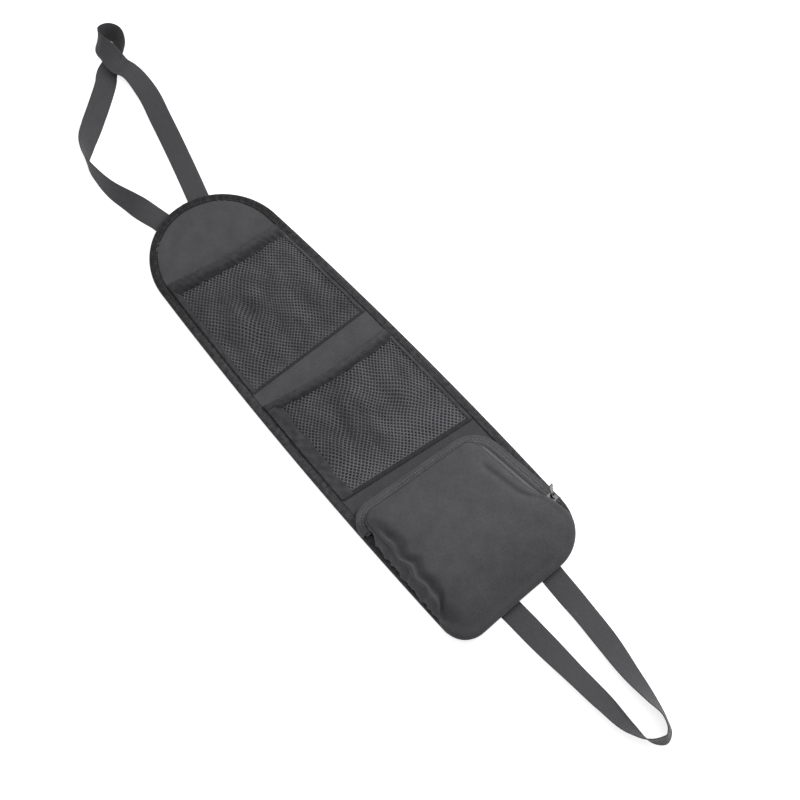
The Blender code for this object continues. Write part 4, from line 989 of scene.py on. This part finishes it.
# The inner row is sewn in dark thread, which also stands for painted shade in the groove under the seam ridge along
# the zip.
for label, out, look in (
    ("outer", np.minimum(0.0052, reach - 0.0012), thread_look),
    ("inner", np.full(ZIP_STATIONS, -0.0049), dark_thread_look),
):
    row = beside(zip_s, out, tape_high + 0.00005)
    stitches(f"zip_stitches_{label}", row, UP, 0.0020, 0.0031, 0.00018, look)

# %% Hard parts
kept = {"zip_slider": metal_look, "zip_pull": metal_look, "stiffener_sheet": board_look}
kept.update({node: stop_look for node in ("zip_stop_rear", "zip_stop_front", "zip_end_stop")})
for node, look in kept.items():
    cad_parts[node].data.materials.clear()
    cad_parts[node].data.materials.append(look)
print("kept from the CAD:", *kept)

# %% [markdown]
# ## The webbing loops
# Each loop is one length of stiff webbing, sewn under the panel at both ends. It lies flat near the panel, rolls
# over on its edge at the far end and comes back with its other face up. A ribbon on a bezier curve twists as it
# likes. A table of stations, with place, roll and lift for each, keeps every turn where the real loop has it.

# %% Loops
WEBBING_WIDTH, WEBBING_THICKNESS = 0.025, 0.0012
HEADREST_ROUTE = [
    (0.0145, -0.0425, 0, 0.0), (0.0259, -0.0047, 0, 0.0), (0.0398, 0.0425, 0, 0.0), (0.0577, 0.1094, 5, 0.001),
    (0.0680, 0.1520, -2, 0.003), (0.0680, 0.1852, -10, 0.0062), (0.0640, 0.2006, 4, 0.0065),
    (0.0640, 0.2220, 36, 0.003), (0.0637, 0.2357, 53, 0.0005), (0.0710, 0.2480, 87, 0.0), (0.0820, 0.2440, 106, 0.0),
    (0.0864, 0.2343, 120, 0.0), (0.0805, 0.2220, 135, 0.0), (0.0656, 0.2137, 158, 0.0), (0.0492, 0.2050, 178, 0.0),
    (0.0391, 0.1930, 188, 0.0), (0.0177, 0.1737, 198, 0.0), (-0.0085, 0.1522, 209, 0.0), (-0.0309, 0.1315, 238, 0.0),
    (-0.0422, 0.1155, 266, 0.0), (-0.0460, 0.0855, 284, 0.0), (-0.0445, 0.0649, 294, 0.0),
    (-0.0363, 0.0362, 316, 0.0), (-0.0290, 0.0165, 349, 0.0), (-0.0247, 0.0035, 360, 0.0),
    (-0.0222, -0.0103, 360, 0.0), (-0.0120, -0.0495, 360, 0.0),
]
SEAT_ROUTE = [
    (0.0340, -0.0405, 0, 0.0), (0.0297, 0.0103, 0, 0.0), (0.0289, 0.0255, 0, 0.0), (0.0273, 0.0497, 9, 0.0),
    (0.0246, 0.0847, 12, 0.0), (0.0185, 0.1285, 34, 0.0), (0.0158, 0.1570, 55, 0.0), (0.0130, 0.1785, 73, 0.0),
    (0.0065, 0.1910, 73, 0.0), (0.0005, 0.1940, 76, 0.0), (-0.0070, 0.1905, 85, 0.0), (-0.0155, 0.1800, 106, 0.0),
    (-0.0190, 0.1659, 126, 0.0), (-0.0205, 0.1299, 150, 0.0), (-0.0226, 0.0894, 159, 0.0),
    (-0.0244, 0.0354, 180, 0.0), (-0.0260, -0.0038, 180, 0.0), (-0.0285, -0.0405, 180, 0.0),
]


def smooth_route(stations, step):
    """A smooth curve through the stations: cubics that share the slope at each station."""
    rows = np.asarray(stations, float)
    knots = running_length(rows[:, :2])
    slopes = np.gradient(rows, knots, axis=0)
    s = np.linspace(0.0, knots[-1], int(knots[-1] / step) + 2)
    i = np.clip(np.searchsorted(knots, s, side="right") - 1, 0, len(knots) - 2)
    span = (knots[i + 1] - knots[i])[:, None]
    t = (s - knots[i])[:, None] / span
    ends = (2 * t**3 - 3 * t**2 + 1) * rows[i] + (3 * t**2 - 2 * t**3) * rows[i + 1]
    return ends + (t**3 - 2 * t**2 + t) * span * slopes[i] + (t**3 - t**2) * span * slopes[i + 1]


def make_loop(name, route, end, node):
    """The webbing's width turns about the route by the roll, and its lower edge stays on the ground or above it:
    height = ground + lift + half the width * |sin roll| + half the thickness * |cos roll|."""
    rows = np.asarray(route, float)
    rows[:, 1] = end * (TOP + rows[:, 1])
    line = smooth_route(rows, 0.002)
    roll, lift = np.radians(line[:, 2]), np.maximum(line[:, 3], 0.0)
    half, thin = WEBBING_WIDTH / 2, WEBBING_THICKNESS / 2
    height = GROUND + lift + half * np.abs(np.sin(roll)) + thin * np.abs(np.cos(roll))
    middle = np.column_stack([line[:, :2], height])
    ahead = unit(np.gradient(middle, axis=0))
    level = np.cross(UP, ahead)
    across = np.cos(roll)[:, None] * level - np.sin(roll)[:, None] * UP
    across = unit(across - (across * ahead).sum(axis=1)[:, None] * ahead)
    face = np.cross(ahead, across)
    flat_part = np.linspace(-half + 0.0006, half - 0.0006, 9)
    x = np.concatenate([[-half, -half + 0.0002], flat_part, [half - 0.0002, half]])
    swell = thin * np.array([0.45, 0.85, *[1.0] * 9, 0.85, 0.45])
    outline_here = np.concatenate([np.column_stack([x, -swell]), np.column_stack([x, swell])[::-1]])
    piece = bar(name, middle, across, face, outline_here, webbing_look, "webbing", stands_for=[node])
    co = np.empty(len(piece.data.vertices) * 3, dtype=np.float32)
    piece.data.vertices.foreach_get("co", co)
    co = co.reshape(-1, 3)
    co[:, 2] = np.maximum(co[:, 2], GROUND)
    piece.data.vertices.foreach_set("co", co.ravel())


make_loop("headrest_loop", HEADREST_ROUTE, 1, "headrest_strap")
make_loop("seat_loop", SEAT_ROUTE, -1, "seat_strap")

# %% [markdown]
# ## Ground, light and camera
# A product photograph has a white sweep under soft boxes. A very large lit plane would do it, but its edge would
# show. Here the ground looks plain white to the camera, and in polished metal, and keeps only a soft shadow. One
# lamp stands behind on the right, and a broad one hangs above, so that edges that face the viewer fall off darker.

# %% Ground
GROUND_HALF = 3.0


def seen_by_eye(tree):
    """1 for a ray that the camera sees, straight on or by way of a mirror or a glass; else 0."""
    rays = tree.nodes.new("ShaderNodeLightPath")
    total = rays.outputs["Is Camera Ray"]
    for kind in ("Is Glossy Ray", "Is Transmission Ray"):
        node = tree.nodes.new("ShaderNodeMath")
        node.operation = "MAXIMUM"
        tree.links.new(total, node.inputs[0])
        tree.links.new(rays.outputs[kind], node.inputs[1])
        total = node.outputs[0]
    return total


corners = [(x * GROUND_HALF, y * GROUND_HALF, GROUND) for x, y in ((-1, -1), (1, -1), (1, 1), (-1, 1))]
ground_mesh = bpy.data.meshes.new("ground")
ground_mesh.from_pydata(corners, [], [(0, 1, 2, 3)])
ground = bpy.data.objects.new("ground", ground_mesh)
bpy.context.scene.collection.objects.link(ground)
white = Nodes("white_ground", 1.0, 0.0)
white.shader.inputs["Base Color"].default_value = (0.9, 0.9, 0.9, 1.0)
glow, total, pick = (white.add(f"ShaderNode{kind}") for kind in ("Emission", "AddShader", "MixShader"))
glow.inputs["Color"].default_value = (1.0, 1.0, 1.0, 1.0)
glow.inputs["Strength"].default_value = 0.72
for start, stop in (
    (white.shader.outputs[0], total.inputs[0]), (glow.outputs[0], total.inputs[1]),
    (seen_by_eye(white.tree), pick.inputs[0]), (white.shader.outputs[0], pick.inputs[1]),
    (total.outputs[0], pick.inputs[2]), (pick.outputs[0], white.tree.nodes["Material Output"].inputs[0]),
):
    white.tree.links.new(start, stop)
ground_mesh.materials.append(white.material)

# %% World
LIGHT_STRENGTH, SEEN_STRENGTH = 0.33, 1.0
world = bpy.data.worlds.new("studio")
world.use_nodes = True
tree = world.node_tree
background = tree.nodes["Background"]
background.inputs["Color"].default_value = (1.0, 1.0, 1.0, 1.0)
strength = tree.nodes.new("ShaderNodeMapRange")
for socket, value in zip(strength.inputs[1:5], (0.0, 1.0, LIGHT_STRENGTH, SEEN_STRENGTH)):
    socket.default_value = value
tree.links.new(seen_by_eye(tree), strength.inputs[0])
tree.links.new(strength.outputs[0], background.inputs["Strength"])
bpy.context.scene.world = world
print(f"world: {LIGHT_STRENGTH} as light, {SEEN_STRENGTH} to the eye")

# %% Lamps and camera
CAMERA_AZIMUTH, CAMERA_ELEVATION, CAMERA_DISTANCE = math.radians(-40.4), math.radians(66.0), 1.526
CAMERA_TARGET = np.array([0.038, -0.049, 0.0])
right = np.array([math.cos(CAMERA_AZIMUTH), math.sin(CAMERA_AZIMUTH), 0.0])
away = np.array([-math.sin(CAMERA_AZIMUTH), math.cos(CAMERA_AZIMUTH), 0.0])
forward = away * math.cos(CAMERA_ELEVATION) - UP * math.sin(CAMERA_ELEVATION)


def aimed(name, data, place, target):
    """An object whose -Z looks from its place to the target, with its +Y upwards."""
    thing = bpy.data.objects.new(name, data)
    back = unit(np.asarray(place, float) - np.asarray(target, float))
    side = unit(np.cross(UP, back))
    matrix = np.eye(4)
    matrix[:3, :3] = np.column_stack([side, np.cross(back, side), back])
    matrix[:3, 3] = place
    thing.matrix_world = matrix.T
    bpy.context.scene.collection.objects.link(thing)
    return thing


def lamp(name, place, size, watts):
    """A square soft lamp that shines at the panel's middle."""
    data = bpy.data.lights.new(name, "AREA")
    data.shape, data.size, data.energy = "SQUARE", size, watts
    aimed(name, data, place, (0.0, 0.0, 0.0))


lamp("key", CAMERA_TARGET + away * 0.45 + right * 0.85 + UP * 0.85, 0.5, 9.0)
lamp("top", CAMERA_TARGET + UP * 1.6, 1.2, 6.5)
camera_data = bpy.data.cameras.new("camera")
camera_data.lens, camera_data.sensor_width = 64.8, 36.0
camera = aimed("camera", camera_data, CAMERA_TARGET - forward * CAMERA_DISTANCE, CAMERA_TARGET)
bpy.context.scene.camera = camera
bpy.context.scene.view_settings.view_transform = "Standard"
print("camera at", np.round(camera.matrix_world.translation, 3))

# %% [markdown]
# ## Cut sizes
# Cloth keeps its area when it is sewn up, so each sheet is told here the size that it was cut to. For the side
# band that is its length and its cloth over its length. The other pieces are cut from a rectangle a little larger
# than they are when sewn, and their cloth is measured from the mesh.


def area_of(piece):
    """Half of the surface area of a thin closed piece, which is the area of its cloth."""
    mesh = piece.data
    areas = np.empty(len(mesh.polygons))
    mesh.polygons.foreach_get("area", areas)
    return float(areas.sum()) / 2


for piece, held, rests_on in (
    ("front_cloth_surface", "stretched", "stiffener_sheet"), ("rear_cloth_surface", "stretched", "stiffener_sheet"),
    ("upper_net", "gathered", "front_cloth_surface"), ("middle_net", "gathered", "front_cloth_surface"),
    ("zip_pocket_front", "stretched", "zip_pocket_side_band"),
    ("zip_pocket_side_band", "stretched", "zip_tape_inner"),
):
    thing = bpy.data.objects[piece]
    cloth = area_of(thing)
